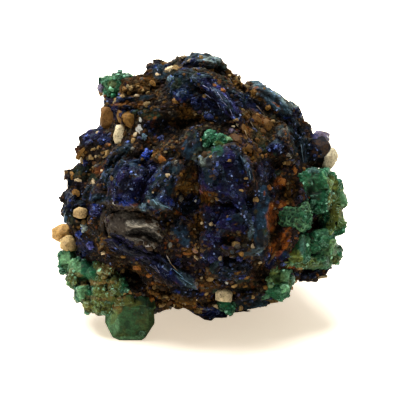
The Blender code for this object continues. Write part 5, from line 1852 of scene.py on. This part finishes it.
SEEN_GRAINS = grouped(Grain, {
    Sand.AMBER: (
        (127, 119, 27, 17, -58), (152, 83, 7, 6, 0), (126, 89, 8, 6, 0), (165, 64, 7, 4, -10),
        (176, 101, 8, 6, -20), (80, 153, 14, 5, 60), (101, 147, 8, 4, -50), (76, 193, 9, 7, -40),
        (72, 176, 10, 11, 60), (211, 71, 6, 5, 0), (268, 107, 6, 7, 0), (255, 92, 7, 7, 0),
        (258, 115, 7, 3, -30), (303, 169, 5, 4, 0), (245, 286, 6, 5, 0), (246, 277, 7, 5, 0),
        (264, 287, 9, 6, -45), (175, 304, 13, 5, -10), (123, 256, 6, 5, -30), (196, 245, 4, 3, 40),
        (172, 233, 4, 3, 40),
    ),
    Sand.CREAM: (
        (169, 71, 12, 9, 60), (158, 75, 6, 5, 0), (184, 57, 6, 4, 0), (96, 156, 6, 5, 60),
        (78, 180, 7, 4, 0), (82, 213, 12, 9, 10), (153, 192, 3, 3, 0), (234, 127, 6, 5, -40),
        (322, 277, 11, 3, 10), (254, 247, 7, 7, -30), (222, 293, 14, 9, -35), (214, 306, 10, 6, -40),
        (104, 253, 6, 3, 10), (260, 262, 5, 4, 0), (295, 281, 5, 4, 0), (136, 135, 6, 6, 0),
        (102, 171, 3, 3, 0), (98, 133, 5, 4, 0), (104, 157, 5, 5, 0), (110, 171, 4, 4, 0),
    ),
    Sand.TAN: (
        (103, 92, 9, 6, 20), (176, 69, 9, 7, -40), (132, 88, 7, 6, 0), (142, 91, 5, 5, 0),
        (133, 141, 6, 4, 80), (93, 149, 6, 5, 0), (107, 154, 9, 7, 60), (155, 151, 5, 4, 30),
        (236, 79, 9, 6, 10), (229, 76, 5, 4, 0), (205, 96, 5, 4, 0), (236, 120, 6, 5, -40),
        (229, 160, 4, 3, 0), (240, 190, 8, 4, -20), (256, 200, 6, 6, 0), (246, 178, 8, 4, -10),
        (236, 245, 8, 7, 0), (234, 285, 7, 6, 0), (210, 278, 9, 7, 0), (241, 307, 8, 6, 60),
        (198, 310, 8, 7, 0), (165, 297, 7, 4, 0), (155, 288, 7, 6, 60), (124, 293, 5, 5, 0),
        (130, 292, 4, 4, 0), (112, 238, 9, 3, -20), (206, 293, 5, 5, 0), (253, 296, 6, 5, 60),
        (270, 301, 16, 5, 8), (285, 162, 6, 4, 60), (300, 268, 8, 4, 0), (90, 170, 4, 3, 0),
        (84, 162, 5, 4, 20), (162, 305, 8, 5, 20), (178, 307, 9, 5, -5), (98, 148, 6, 5, 0),
        (91, 157, 5, 5, 0), (138, 86, 6, 5, 0), (147, 93, 6, 5, 20), (122, 97, 6, 5, 0),
        (116, 101, 7, 6, 0),
    ),
    Sand.ORANGE: (
        (142, 79, 9, 4, 10), (128, 102, 5, 5, 0), (90, 223, 5, 4, 0), (161, 159, 10, 8, 0),
        (214, 86, 6, 5, 0), (222, 91, 7, 6, 0), (250, 155, 9, 7, 0), (281, 181, 9, 6, -10),
        (268, 188, 8, 7, 0), (294, 170, 11, 7, 70), (279, 206, 9, 6, 0), (151, 299, 7, 6, -60),
        (201, 285, 6, 5, 0), (188, 253, 10, 4, 5), (150, 275, 8, 6, 0), (137, 267, 8, 6, 0),
        (288, 267, 8, 5, 0),
    ),
    Sand.GOLD: (
        (257, 121, 13, 9, -50), (247, 118, 14, 8, -60), (267, 124, 12, 9, -40), (244, 131, 15, 8, -65),
        (262, 132, 9, 7, -30), (256, 140, 9, 6, -50), (248, 148, 10, 7, -20), (258, 151, 8, 6, 10),
    ),
    Sand.BLACK: (
        (320, 147, 22, 22, 0), (150, 66, 9, 7, 20), (157, 63, 8, 6, 0),
    ),
    Sand.BROWN: (
        (235, 140, 15, 12, -30), (168, 303, 9, 6, 10), (187, 306, 8, 5, -10), (150, 296, 8, 6, 30),
        (96, 163, 8, 6, 0), (108, 145, 7, 5, 20),
    ),
    Sand.LAVENDER: (
        (101, 88, 8, 9, 20), (322, 136, 15, 10, -15), (291, 276, 8, 6, 0), (88, 138, 6, 6, 0),
    ),
    Sand.WHITE: (
        (115, 203, 5, 4, 0), (196, 201, 3, 3, 0), (226, 282, 6, 4, -50), (326, 139, 8, 8, 0),
        (141, 120, 5, 8, 20), (140, 131, 8, 13, 10),
    ),
    Sand.GREY: (
        (283, 129, 11, 9, -20), (289, 155, 8, 6, -60), (247, 312, 8, 3, 10),
    ),
})


@dataclass
class SandGrains:
    """Cemented sand: the grains that are seen, one by one, and others strewn between them.

    Attributes:
        strewn: how many others are tried, as a share of the mass's points.
        size: their usual width.
        depth: how thick a seen grain is, for its width.
        sunk: how deep it is sunk in, as a share of its thickness.
        common: the kinds of the others.
        seed: picks their places.
    """

    strewn: float = 0.0036
    size: float = 0.64 * MM
    depth: float = 0.9
    sunk: float = 0.3
    common: tuple[Sand, ...] = (Sand.TAN, Sand.AMBER, Sand.ORANGE, Sand.GREY, Sand.TAN, Sand.CREAM)
    seed: int = 12

    def build(self, shells: Sequence[Shell], surface: Surface) -> None:
        """Builds the grains as one piece."""
        random = np.random.default_rng(self.seed)
        copies = Copies()
        for grain in SEEN_GRAINS:
            self.place(copies, grain, surface, random)
        kinds = palette([kind.value for kind in self.common])
        for shell in shells:
            chosen = shell.choose(random, self.strewn, 0.01 + 0.8 * shell.ground.crumbs)
            axes = shell.tumbled(random, chosen, 1.0, self.size, 0.35, (0.5, 1.15), 1.5)
            light = shell.shade[chosen] * random.uniform(0.2, 0.9, len(chosen))
            tints = kinds[random.integers(0, len(kinds), len(chosen))] * light[:, None]
            copies.add(axes, shell.points[chosen], tints)
        piece = copies.joined("sand_grains", [chip(21, 13), block(1.1), chip(23, 13), chip(24, 9)])
        with edit(piece):
            bpy.ops.mesh.faces_shade_smooth()
        pick(piece)
        bpy.ops.object.shade_smooth_by_angle(angle=radians(24))
        finish = GrainFinish("sand_grains_quartz_and_feldspar", glow=0.08).make()
        dress(piece, finish)

    def place(self, copies: Copies, grain: Grain, surface: Surface, random: np.random.Generator) -> None:
        """Places one seen grain, partly sunk in, its length and width facing the viewer."""
        place, _ = surface.meet(grain.x, grain.y)
        deep = (grain.long + grain.wide) / 2 * self.depth
        size = np.array((grain.long, grain.wide, deep)) * VIEW.step
        axes = np.stack([*VIEW.turned(radians(grain.turn)), VIEW.towards], axis=1) * size
        place = place - VIEW.towards * size[2] * self.sunk
        copies.add(axes, place, tint_of(grain.kind.value) * random.uniform(0.85, 1.15))


@dataclass
class BlueCrystals:
    """Bright azurite crystals in small balls of blades, where the seen side has them.

    Attributes:
        spots: middle and reach in steps, and colour.
        blades: how many a ball has.
        blade: a blade's length, width and thickness, for its length.
        seed: picks their directions.
    """

    spots: tuple[tuple[float, float, float, Zone], ...] = (
        (144, 137, 5.0, Zone.SHEEN), (172, 79, 6.0, Zone.SHEEN), (147, 155, 9.0, Zone.BLUE),
        (96, 210, 7.5, Zone.VIOLET), (80, 233, 8.0, Zone.BLUE), (84, 227, 7.5, Zone.ASH),
        (91, 245, 6.0, Zone.LILAC), (85, 253, 5.0, Zone.INDIGO), (161, 140, 6.0, Zone.INDIGO),
        (183, 93, 6.5, Zone.TEAL), (194, 102, 6.0, Zone.INDIGO), (152, 170, 6.0, Zone.VIOLET),
        (177, 262, 6.0, Zone.VIOLET), (211, 258, 6.5, Zone.VIOLET), (278, 147, 6.5, Zone.INDIGO),
        (102, 141, 6.0, Zone.INDIGO), (86, 163, 5.0, Zone.VIOLET), (125, 202, 6.0, Zone.BLUE),
        (143, 207, 5.0, Zone.SHEEN), (240, 258, 5.0, Zone.VIOLET), (242, 276, 5.5, Zone.VIOLET),
        (109, 113, 4.5, Zone.INDIGO), (87, 138, 6.0, Zone.VIOLET),
    )
    blades: int = 26
    blade: tuple[float, float, float] = (1.0, 0.55, 0.2)
    seed: int = 17

    def build(self, surface: Surface) -> None:
        """Builds the balls as one piece."""
        random = np.random.default_rng(self.seed)
        copies = Copies()
        for x, y, reach, zone in self.spots:
            place, normal = surface.meet(x, y)
            ways = unit(random.normal(size=(self.blades, 3)) + 0.9 * (normal + VIEW.towards))
            sides = unit(np.cross(ways, random.normal(size=3)))
            axes = frames_on(sides, ways, random.uniform(-1, 1, self.blades))
            length = reach * VIEW.step * random.uniform(0.8, 1.15, self.blades)[:, None]
            size = length * np.array(self.blade)
            tints = tint_of(zone) * random.uniform(0.6, 2.2, self.blades)[:, None]
            places = place + ways * reach * VIEW.step * 0.28
            copies.add(axes * size[:, None, :], places, tints)
        piece = copies.joined("azurite_crystal_balls", [tablet(0.5), tablet(0.9)])
        dress(piece, TabletFinish("azurite_crystals_bright", roughness=0.18).make())


# The green crystals

@dataclass(frozen=True)
class Crystal(Spot):
    """A malachite crystal that is seen, of a colour."""

    zone: Zone


@dataclass
class GreenCluster:
    """A group of malachite crystals: its CAD form with single crystals grown into it, felted and stained.

    Attributes:
        node: the CAD node that it stands for.
        zone: its base colour.
        pits: how deep its surface is pitted.
        pit_size: how wide a pit is.
        voxel: its mesh spacing.
        net: how high the pale net stands that covers it.
        crystals: the single crystals.
        faces: its broad crystal faces, which stay smooth, with half their sizes.
        dents: hollows, or places moved up.
        bare: nets this high bear no small crystals.
        seed: varies how the crystals lean.
    """

    node: str
    zone: Zone = Zone.GREEN
    pits: float = 0.14 * MM
    pit_size: float = 0.6 * MM
    voxel: float = 0.17 * MM
    net: float = 0.0
    crystals: tuple[Crystal, ...] = ()
    faces: tuple[Spot, ...] = ()
    dents: tuple[Dent, ...] = ()
    bare: float = 0.2 * MM
    seed: int = 31

    def build(self, finish: bpy.types.Material) -> Shell:
        """Builds and dresses the group."""
        piece = solid_copy(self.node + "_felted", self.node)
        if self.crystals:
            self.grow(piece)
        modify(piece, "REMESH", mode="VOXEL", voxel_size=self.voxel, adaptivity=0.0)
        press(piece, self.dents)
        points, normals = points_of(piece), normals_of(piece)
        smooth = self.smoothness(points)
        near, second, mark = grains(points, self.pit_size, 60)
        lumps = eased(second - near, 0.0, 0.5) * (0.5 + mark) - 0.5
        web = eased(second - near, 0.28, 0.06)
        web *= 0.5 + 0.5 * eased(wave(points, 1.2 * MM, 65), -0.3, 0.3)
        height = (lumps * self.pits + web * self.net) * (1 - 0.75 * smooth)
        height += rough(points, 0.4 * MM, 61) * (self.pits * 0.4 + 0.02 * MM)
        height *= eased(points[:, 2], 0.1 * MM, 0.9 * MM)
        move_to(piece, points + normals * height[:, None])
        ground = self.ground(points, normals)
        if self.net:
            bare = (1 - smooth) * (0.25 + 0.75 * eased(wave(points, 1.6 * MM, 66), -0.5, 0.1))
            strength = min(self.net / (0.25 * MM), 1.0)
            # the net's holes are laid dark green, partly painted shade, and its ridges mint, partly painted
            # highlight
            ground.lay(Zone.DEEP_GREEN, 0.92 * (1 - web) * bare * strength)
            ground.lay(Zone.MINT, 0.9 * web * bare * strength)
        broad = relief_of(piece, 0.6 * MM, 60)
        relief = relief_of(piece, 0.1 * MM, 4) * 0.5 + relief_of(piece, 0.3 * MM, 22) * 0.6
        # painted shade in hollows and painted highlight on bulges, multiplied into the tint
        shade = 1 - 0.6 * eased(-broad, 0.05, 0.9) + 0.35 * eased(broad, 0.2, 1.0)
        paint(piece, "tint", ground.tint * shade[:, None])
        paint(piece, "relief", np.clip(relief, -1, 1))
        dress(piece, finish, (self.node,))
        smooth = np.maximum(smooth, float(self.net > self.bare))
        return Shell(piece, points, normals, ground, shade, smooth)

    def smoothness(self, points: np.ndarray) -> np.ndarray:
        """Tells where the group has broad smooth faces."""
        across, down = VIEW.on_grid(points)
        smooth = np.full(len(points), float(self.pits < 0.05 * MM))
        for face in self.faces:
            smooth = np.maximum(smooth, eased(face.reach(across, down), 1.15, 0.85))
        return smooth

    def ground(self, points: np.ndarray, normals: np.ndarray) -> Ground:
        """Says how the group is coloured: by its crystals first and the stains over them."""
        ground = Ground.of(len(points), self.zone)
        mix = ((Zone.OLIVE, 2.2, 62, 0.15), (Zone.DEEP_GREEN, 1.3, 63, 0.2), (Zone.FROSTED, 1.0, 64, 0.5))
        for zone, size, seed, start in mix:
            ground.lay(zone, 0.55 * eased(rough(points, size * MM, seed), start, start + 0.3))
        marks = [Patch(c.x, c.y, c.long * 0.55, c.wide * 0.55, c.turn, c.zone, 0.8) for c in self.crystals]
        ground.lay_patches(marks, points, normals, 0.6)
        ground.lay_patches(GREEN_PATCHES, points, normals, 1.2)
        return ground

    def grow(self, piece: bpy.types.Object) -> None:
        """Joins the single crystals to the group's form."""
        surface = Surface(piece)
        random = np.random.default_rng(self.seed)
        copies = Copies()
        for crystal in self.crystals:
            place, _ = surface.meet(crystal.x, crystal.y)
            along, up = VIEW.turned(radians(crystal.turn))
            along = unit(along + VIEW.towards * random.uniform(-0.5, 0.5))
            out = unit(np.cross(along, up + VIEW.towards * random.uniform(-0.45, 0.45)))
            axes = np.stack([along, np.cross(out, along), out], axis=1)
            size = np.array((crystal.long, crystal.wide, (crystal.long + crystal.wide) * 0.55)) * VIEW.step
            copies.add(axes * size, place - VIEW.towards * size[2] * 0.22, np.zeros(3))
        extra = copies.joined("crystals", [block(0.3), block(0.6), block(0.9)])
        pick(piece, extra)
        bpy.ops.object.join()


GREEN_CLUSTERS = (
    GreenCluster("malachite_foot_crystal", Zone.FROSTED, 0.03 * MM, 0.4 * MM, 0.14 * MM, crystals=each(
        Crystal, (128, 301, 13, 9, 12, Zone.OLIVE), (142, 301, 12, 9, -8, Zone.DEEP_GREEN),
        (117, 308, 10, 11, 40, Zone.TAN), (150, 305, 8, 10, 10, Zone.DEEP_GREEN),
        (135, 306, 10, 6, 5, Zone.FROSTED),
    )),
    GreenCluster("malachite_cluster_left", crystals=each(
        Crystal, (67, 259, 14, 13, 15, Zone.MINT), (64, 268, 9, 9, -10, Zone.GREEN),
        (84, 271, 19, 17, -8, Zone.GREEN), (76, 265, 9, 12, 10, Zone.MINT),
        (73, 280, 11, 10, 5, Zone.OLIVE), (98, 265, 10, 9, 20, Zone.OLIVE),
        (107, 270, 12, 11, -15, Zone.GREEN), (102, 281, 11, 10, 10, Zone.OLIVE),
        (113, 283, 11, 12, -5, Zone.OLIVE), (82, 291, 12, 12, 20, Zone.MINT),
        (90, 297, 15, 13, -15, Zone.GREEN), (99, 291, 12, 11, 25, Zone.YELLOW_GREEN),
        (109, 296, 12, 11, 0, Zone.OLIVE), (88, 306, 9, 8, 0, Zone.TAN),
        (98, 307, 13, 11, 10, Zone.YELLOW_GREEN), (108, 309, 10, 10, -20, Zone.OLIVE),
        (118, 298, 9, 12, -35, Zone.OLIVE), (121, 303, 11, 8, 45, Zone.TAN),
    ), faces=each(Spot, (84, 271, 9, 8, 0), (66, 260, 6, 7, 0), (83, 291, 5, 6, 0)),
        dents=each(Dent, (93, 322, 12, 9, 0, 0.0, 1.0 * MM))),
    GreenCluster("malachite_cluster_right_upper", crystals=each(
        Crystal, (304, 203, 14, 14, 20, Zone.DEEP_GREEN), (322, 205, 12, 14, 10, Zone.GREEN),
        (341, 198, 10, 18, 25, Zone.MINT), (335, 186, 8, 12, -20, Zone.OLIVE),
        (336, 215, 12, 14, 10, Zone.OLIVE), (340, 226, 12, 12, -15, Zone.GREEN),
        (331, 226, 10, 10, 20, Zone.YELLOW_GREEN), (307, 180, 9, 16, 8, Zone.GREEN),
        (322, 180, 10, 18, -6, Zone.GREEN), (316, 197, 16, 8, 15, Zone.DEEP_GREEN),
        (303, 188, 13, 28, 4, Zone.GREEN), (317, 173, 20, 9, -4, Zone.GREEN),
        (306, 175, 12, 9, 12, Zone.GREEN), (326, 193, 10, 24, -3, Zone.GREEN),
    ), faces=each(Spot, (314, 186, 13, 17, 0), (342, 198, 6, 10, 0), (337, 218, 7, 8, 0))),
    GreenCluster("malachite_block_right", Zone.GREEN, 0.3 * MM, 0.75 * MM, 0.13 * MM, 0.3 * MM),
    GreenCluster("malachite_cluster_right_lower", net=0.14 * MM, crystals=each(
        Crystal, (299, 249, 17, 23, 3, Zone.GREEN), (296, 257, 13, 13, 10, Zone.YELLOW_GREEN),
        (315, 246, 12, 11, 15, Zone.GREEN), (323, 241, 10, 10, -20, Zone.GREEN),
        (330, 250, 11, 11, 10, Zone.GREEN), (335, 259, 9, 9, 0, Zone.OLIVE),
        (322, 258, 12, 10, -10, Zone.GREEN), (312, 262, 12, 8, 10, Zone.YELLOW_GREEN),
        (301, 264, 10, 6, 0, Zone.OLIVE), (318, 236, 8, 8, 0, Zone.GREEN),
    ), faces=each(Spot, (299, 249, 10, 13, 0))),
    GreenCluster("malachite_crystal_lower_right", net=0.14 * MM, crystals=each(
        Crystal, (274, 270, 12, 9, 20, Zone.YELLOW_GREEN), (285, 276, 9, 12, -10, Zone.MINT),
        (279, 288, 14, 9, 0, Zone.GREEN), (270, 282, 8, 10, 25, Zone.OLIVE),
    ), faces=each(Spot, (280, 280, 7, 7, 0))),
    GreenCluster("malachite_crystal_bottom"),
    GreenCluster("malachite_tuft_top_left", Zone.GREEN, 0.2 * MM, 0.6 * MM, 0.14 * MM, 0.12 * MM),
    GreenCluster("malachite_crust_centre", Zone.GREEN, 0.2 * MM, 0.6 * MM, 0.14 * MM),
    GreenCluster("malachite_cluster_back"),
)


@dataclass
class SmallCrystals:
    """Small malachite crystals that stud the green groups.

    Attributes:
        density: how many are tried, as a share of a group's points.
        size: a crystal's usual width.
        sunk: how deep it is sunk in.
        seed: picks their places.
    """

    density: float = 0.026
    size: float = 0.52 * MM
    sunk: float = 0.14 * MM
    seed: int = 33

    def build(self, shells: Sequence[Shell]) -> None:
        """Builds the crystals as one piece."""
        random = np.random.default_rng(self.seed)
        copies = Copies()
        for shell in shells:
            chosen = shell.choose(random, self.density, np.full(len(shell.points), 0.7))
            axes = shell.tumbled(random, chosen, 0.5, self.size, 0.35, (0.7, 1.2))
            light = shell.shade[chosen] * np.minimum(random.lognormal(-0.1, 0.5, len(chosen)), 1.7)
            places = shell.points[chosen] - shell.normals[chosen] * self.sunk
            copies.add(axes, places, shell.ground.tint[chosen] * light[:, None])
        piece = copies.joined("malachite_small_crystals", [block(0.2), block(0.5), block(0.8)])
        dress(piece, TabletFinish("malachite_crystals_glassy", 0.3, "#8cc4a6").make())


@dataclass
class NeedleSprays:
    """Pale malachite needles in sprays, where they stick out between the green crystals.

    Attributes:
        spots: middle in steps, reach in steps, and the way that the spray opens, in degrees.
        needles: how many a spray has.
        width: a needle's width, drawn a little thicker than the real one so that it shows.
        colours: their colours.
        seed: picks their directions.
    """

    spots: tuple[tuple[float, float, float, float], ...] = (
        (333, 204, 12, 20), (331, 212, 13, -30), (336, 192, 10, 60), (338, 220, 10, -10), (322, 214, 9, -60),
        (343, 206, 8, 10), (89, 284, 8, -80), (109, 289, 8, -60), (78, 284, 7, 200), (290, 262, 7, 220),
        (330, 236, 8, 70), (308, 258, 7, -50), (98, 300, 8, -90), (118, 290, 7, 60),
    )
    needles: int = 18
    width: float = 0.1 * MM
    colours: tuple[str, ...] = ("#7f9a4c", "#a3b877", "#5c7a38", "#8fae86")
    seed: int = 27

    def build(self, surface: Surface) -> None:
        """Builds the sprays as one piece."""
        random = np.random.default_rng(self.seed)
        copies = Copies()
        tints = palette(self.colours)
        for x, y, reach, turn in self.spots:
            place, _ = surface.meet(x, y)
            ways = VIEW.runs(radians(turn) + random.normal(0, 0.55, self.needles))
            ways = unit(ways + VIEW.towards * random.uniform(0.0, 0.9, self.needles)[:, None])
            axes = frames_on(unit(np.cross(ways, VIEW.up + 0.3)), ways, np.zeros(self.needles))
            length = reach * VIEW.step * random.uniform(0.6, 1.1, self.needles)
            width = np.full(self.needles, self.width)
            size = np.stack([length, width, width], axis=1)
            start = place - VIEW.towards * 0.3 * MM
            shades = tints[random.integers(0, len(tints), self.needles)]
            shades = shades * random.uniform(0.5, 1.2, self.needles)[:, None]
            copies.add(axes * size[:, None, :], start + ways * length[:, None] / 2, shades)
        piece = copies.joined("malachite_needle_sprays", [needle()])
        dress(piece, GrainFinish("malachite_needles_silky", "#3c4a1c", 0.3, 0.45).make())


# The chalcopyrite

@dataclass
class ChalcopyritePatch:
    """The dark metallic lens with a shell-shaped break.

    Attributes:
        node: the CAD node that it stands for.
        voxel: its mesh spacing.
        spread: how much it is widened along x, y and z.
        shift: how far it is moved on the front grid, in steps.
        uneven: how far its outline wavers.
        bands: its paler and darker stretches.
        dents: the hollow and the lip of the break.
        ripples_from: the place on the front grid that the break spreads from.
    """

    node: str = "chalcopyrite_patch"
    voxel: float = 0.13 * MM
    spread: tuple[float, float, float] = (1.0, 1.0, 1.22)
    shift: tuple[float, float] = (2.0, 0.0)
    uneven: float = 0.55 * MM
    bands: tuple[Patch, ...] = each(
        Patch,
        (140, 223.5, 14, 4.5, 2, Zone.PALE_BAND), (154, 225, 9, 5, -38, Zone.PALE_BAND, 0.9),
        (161, 232, 5, 3, -55, Zone.PALE_BAND, 0.7), (127, 214, 9, 5, -30, Zone.PALE_BAND, 0.3),
        (113, 221, 7, 9, 0, Zone.CRUST, 0.35), (157, 218, 8, 2, -40, Zone.RUST, 0.6),
        (120, 246, 24, 8, -22, Zone.DARK), (136, 232, 13, 4, 8, Zone.GROOVE_SHADE),
        (152, 235.5, 12, 6, -32, Zone.GROOVE_SHADE), (163, 243, 7, 4, -55, Zone.GROOVE_SHADE),
        (141, 241.5, 9, 1.8, -24, Zone.PALE_BAND, 0.9), (151.5, 247.5, 8, 3, -34, Zone.PALE_BAND),
        (145, 242.5, 3, 1.2, -30, Zone.VIOLET, 0.8), (149, 248, 3, 1.4, -40, Zone.LILAC, 0.9),
    )
    dents: tuple[Dent, ...] = each(
        Dent,
        (136, 233, 14, 4.5, 8, 0.9 * MM), (153, 237, 12, 5, -34, 1.0 * MM),
        (142, 223, 16, 5, 0, -0.3 * MM), (150, 247, 10, 2.5, -32, -0.5 * MM),
        (115, 245, 22, 9, -22, 0.9 * MM),
    )
    ripples_from: tuple[float, float] = (128, 222)

    def build(self) -> bpy.types.Object:
        """Builds and dresses the lens."""
        piece = solid_copy("chalcopyrite_patch_tarnished", self.node)
        points = points_of(piece)
        middle = (points.max(0) + points.min(0)) / 2
        shift = (self.shift[0] * VIEW.right - self.shift[1] * VIEW.up) * VIEW.step
        move_to(piece, middle + (points - middle) * self.spread + shift)
        modify(piece, "REMESH", mode="VOXEL", voxel_size=self.voxel, adaptivity=0.0)
        points = points_of(piece)
        for way, seed in ((VIEW.right, 73), (VIEW.up, 74)):
            points = points + np.outer(rough(points, 3.2 * MM, seed) * self.uneven, way)
        move_to(piece, points)
        press(piece, self.dents)
        points, normals = points_of(piece), normals_of(piece)
        height = rough(points, 1.0 * MM, 70) * 0.2 * MM + self.ripples(points) * 0.015 * MM
        height += rough(points, 0.4 * MM, 75) * 0.11 * MM
        move_to(piece, points + normals * height[:, None])
        ground = Ground.of(len(points), Zone.TARNISH)
        ground.lay_patches(self.bands, points, normals, 1.0)
        paint(piece, "tint", ground.tint)
        paint(piece, "shine", ground.shine)
        relief = relief_of(piece, 0.1 * MM, 6) + 0.5 * relief_of(piece, 0.4 * MM, 40)
        paint(piece, "relief", np.clip(relief, -1, 1))
        dress(piece, ChalcopyriteFinish().make(), (self.node,))
        return piece

    def ripples(self, points: np.ndarray) -> np.ndarray:
        """Gives the curved ripples of a shell-shaped break."""
        across, down = VIEW.on_grid(points)
        x, y = self.ripples_from
        far = np.hypot(across - x, (down - y) * 1.6)
        return np.sin(far * 0.9 + 2 * wave(points, 1.5 * MM, 71))


@dataclass(frozen=True)
class Pebble:
    """One of the larger grains.

    Attributes:
        node: the CAD node that it stands for.
        colour: its colour.
        slot: the record's material slot; it is not used.
        shift: how far it is moved on the front grid, in steps.
        square: whether it broke along its cleavage into a block.
    """

    node: str
    colour: str
    slot: str
    shift: tuple[float, float] = (0.0, 0.0)
    square: bool = False


@dataclass
class Pebbles:
    """The larger loose-looking grains that the CAD has as pieces of their own.

    Attributes:
        grains: the grains.
        voxel: their mesh spacing.
        swell: how much they are swelled before they are broken, the round ones and the blocks.
        breaks: how many breaks a round one has.
        stain: the colour of the rust on them.
        seed: picks the breaks.
    """

    grains: tuple[Pebble, ...] = (
        Pebble("quartz_pebble_right", "#c6ba9a", "quartz", (1, 0)),
        Pebble("quartz_pebble_left", "#b48e54", "quartz"),
        Pebble("quartz_pebble_rim", "#a1875c", "quartz"),
        Pebble("feldspar_grain_left", "#b89c69", "feldspar"),
        Pebble("feldspar_block_upper_left", "#cdbd98", "feldspar", (4, 2), True),
        Pebble("feldspar_chip_bottom", "#cfbd96", "feldspar", (0, 0), True),
        Pebble("sandstone_grain_upper_left", "#6d4c24", "sandstone", (2, 1), True),
    )
    voxel: float = 0.12 * MM
    swell: tuple[float, float] = (1.03, 1.15)
    breaks: int = 9
    stain: str = "#6a421a"
    seed: int = 91

    def build(self) -> None:
        """Builds and dresses each one."""
        finish = GrainFinish("pebbles_quartz_and_feldspar", stained=0.3, roughness=0.5, glow=0.12).make()
        for pebble in self.grains:
            piece = solid_copy(pebble.node + "_worn", pebble.node)
            self.break_up(piece, pebble)
            modify(piece, "REMESH", mode="VOXEL", voxel_size=self.voxel, adaptivity=0.0)
            modify(piece, "SMOOTH", factor=0.5, iterations=2)
            points, normals = points_of(piece), normals_of(piece)
            move_to(piece, points + normals * (rough(points, 0.8 * MM, 80, 4) * 0.1 * MM)[:, None])
            stain = eased(rough(points, 1.2 * MM, 81), 0.1, 0.7)[:, None] * 0.5
            base = tint_of(pebble.colour)
            paint(piece, "tint", base + (tint_of(self.stain) - base) * stain)
            with edit(piece):
                bpy.ops.mesh.faces_shade_smooth()
            dress(piece, finish, (pebble.node,))

    def break_up(self, piece: bpy.types.Object, pebble: Pebble) -> None:
        """Gives a grain flat breaks: square to each other where it is a block, else any way."""
        points = points_of(piece)
        middle = (points.max(0) + points.min(0)) / 2
        shift = pebble.shift[0] * VIEW.right - pebble.shift[1] * VIEW.up
        move_to(piece, middle + (points - middle) * self.swell[pebble.square] + shift * VIEW.step)
        points, middle = points_of(piece), middle + shift * VIEW.step
        random = np.random.default_rng(self.seed)
        ways = random.normal(size=(self.breaks, 3))
        ways -= np.outer(ways @ VIEW.towards, VIEW.towards)
        if pebble.square:
            ways = np.array([side * way for way in (VIEW.right, VIEW.up, VIEW.towards) for side in (1, -1)])
            ways = ways + random.normal(0, 0.16, ways.shape)
        for way in unit(ways):
            far = ((points - middle) @ way).max() * (0.74 if pebble.square else random.uniform(0.78, 0.92))
            cut_off(piece, middle + way * far, way)


# The studio

@dataclass
class Studio:
    """A white light tent: a pale floor, a wide soft lamp above, and little light from the front.

    Attributes:
        floor_half: half the floor's width.
        lamp_size: the lamp's width.
        lamp_place: where it hangs.
        lamp_power: its power in watts.
        fill: how much light comes from the front wall.
        back: how much comes from the back wall.
        white: how bright the walls look.
    """

    floor_half: float = 1.2
    lamp_size: float = 0.6
    lamp_place: tuple[float, float, float] = (-0.12, 0.12, 0.55)
    lamp_power: float = 11.5
    fill: float = 0.22
    back: float = 0.9
    white: float = 1.0

    def build(self) -> None:
        """Builds the floor, the lamp, the surroundings and the camera."""
        self.add_floor()
        self.add_lamp()
        self.add_surroundings()
        VIEW.add_camera()
        bpy.context.scene.view_settings.view_transform = "Standard"
        bpy.context.scene.view_settings.look = "None"

    def add_floor(self) -> None:
        """Lays the sheet of paper that the specimen stands on."""
        bpy.ops.object.select_all(action="DESELECT")
        bpy.ops.mesh.primitive_plane_add(size=2 * self.floor_half)
        floor = bpy.context.object
        floor.name = "floor"
        with edit(floor):
            bpy.ops.mesh.subdivide(number_cuts=3)
        floor.data.materials.append(PaperFinish().make())

    def add_lamp(self) -> None:
        """Hangs the soft lamp over the specimen."""
        lamp = bpy.data.lights.new("tent_lamp", "AREA")
        lamp.shape = "DISK"
        lamp.size = self.lamp_size
        lamp.energy = self.lamp_power
        holder = bpy.data.objects.new("tent_lamp", lamp)
        holder.location = self.lamp_place
        way = Vector((0, 0, 0.02)) - Vector(self.lamp_place)
        holder.rotation_euler = way.to_track_quat("-Z", "Y").to_euler()
        bpy.context.scene.collection.objects.link(holder)

    def add_surroundings(self) -> None:
        """Makes the tent's walls, which look white and give a little light."""
        world = bpy.data.worlds.new("tent")
        world.use_nodes = True
        tree = world.node_tree
        tree.nodes.clear()
        ray = add_node(tree, "ShaderNodeLightPath")
        way = add_node(tree, "ShaderNodeTexCoord")
        parts = add_node(tree, "ShaderNodeSeparateXYZ", links={0: way.outputs["Generated"]})
        settings = {"From Min": -0.4, "From Max": 0.8, "To Min": self.fill, "To Max": self.back}
        light = add_node(tree, "ShaderNodeMapRange", settings, {"Value": parts.outputs[1]})
        seen = add_node(
            tree, "ShaderNodeMix", {"data_type": "FLOAT", 3: self.white},
            {0: ray.outputs["Is Camera Ray"], 2: light.outputs[0]},
        )
        links = {"Strength": seen.outputs[0]}
        wall = add_node(tree, "ShaderNodeBackground", {"Color": (1, 1, 1, 1)}, links)
        add_node(tree, "ShaderNodeOutputWorld", links={"Surface": wall.outputs[0]})
        bpy.context.scene.world = world


def main() -> None:
    """Builds every piece in order."""
    logging.basicConfig(level=logging.INFO, format="%(message)s")
    shells = Mass().build()
    green = MalachiteFinish().make()
    clusters = [cluster.build(green) for cluster in GREEN_CLUSTERS]
    SmallCrystals().build(clusters)
    patch = ChalcopyritePatch().build()
    Pebbles().build()
    surface = Surface(*(shell.piece for shell in (*shells, *clusters)), patch)
    tablets = Tablets()
    tablets.build(shells)
    tablets.lay_over(surface)
    Crumbs().build(shells, surface)
    SandGrains().build(shells, surface)
    NeedleSprays().build(surface)
    BlueCrystals().build(surface)
    Studio().build()


if __name__ == "__main__":
    main()
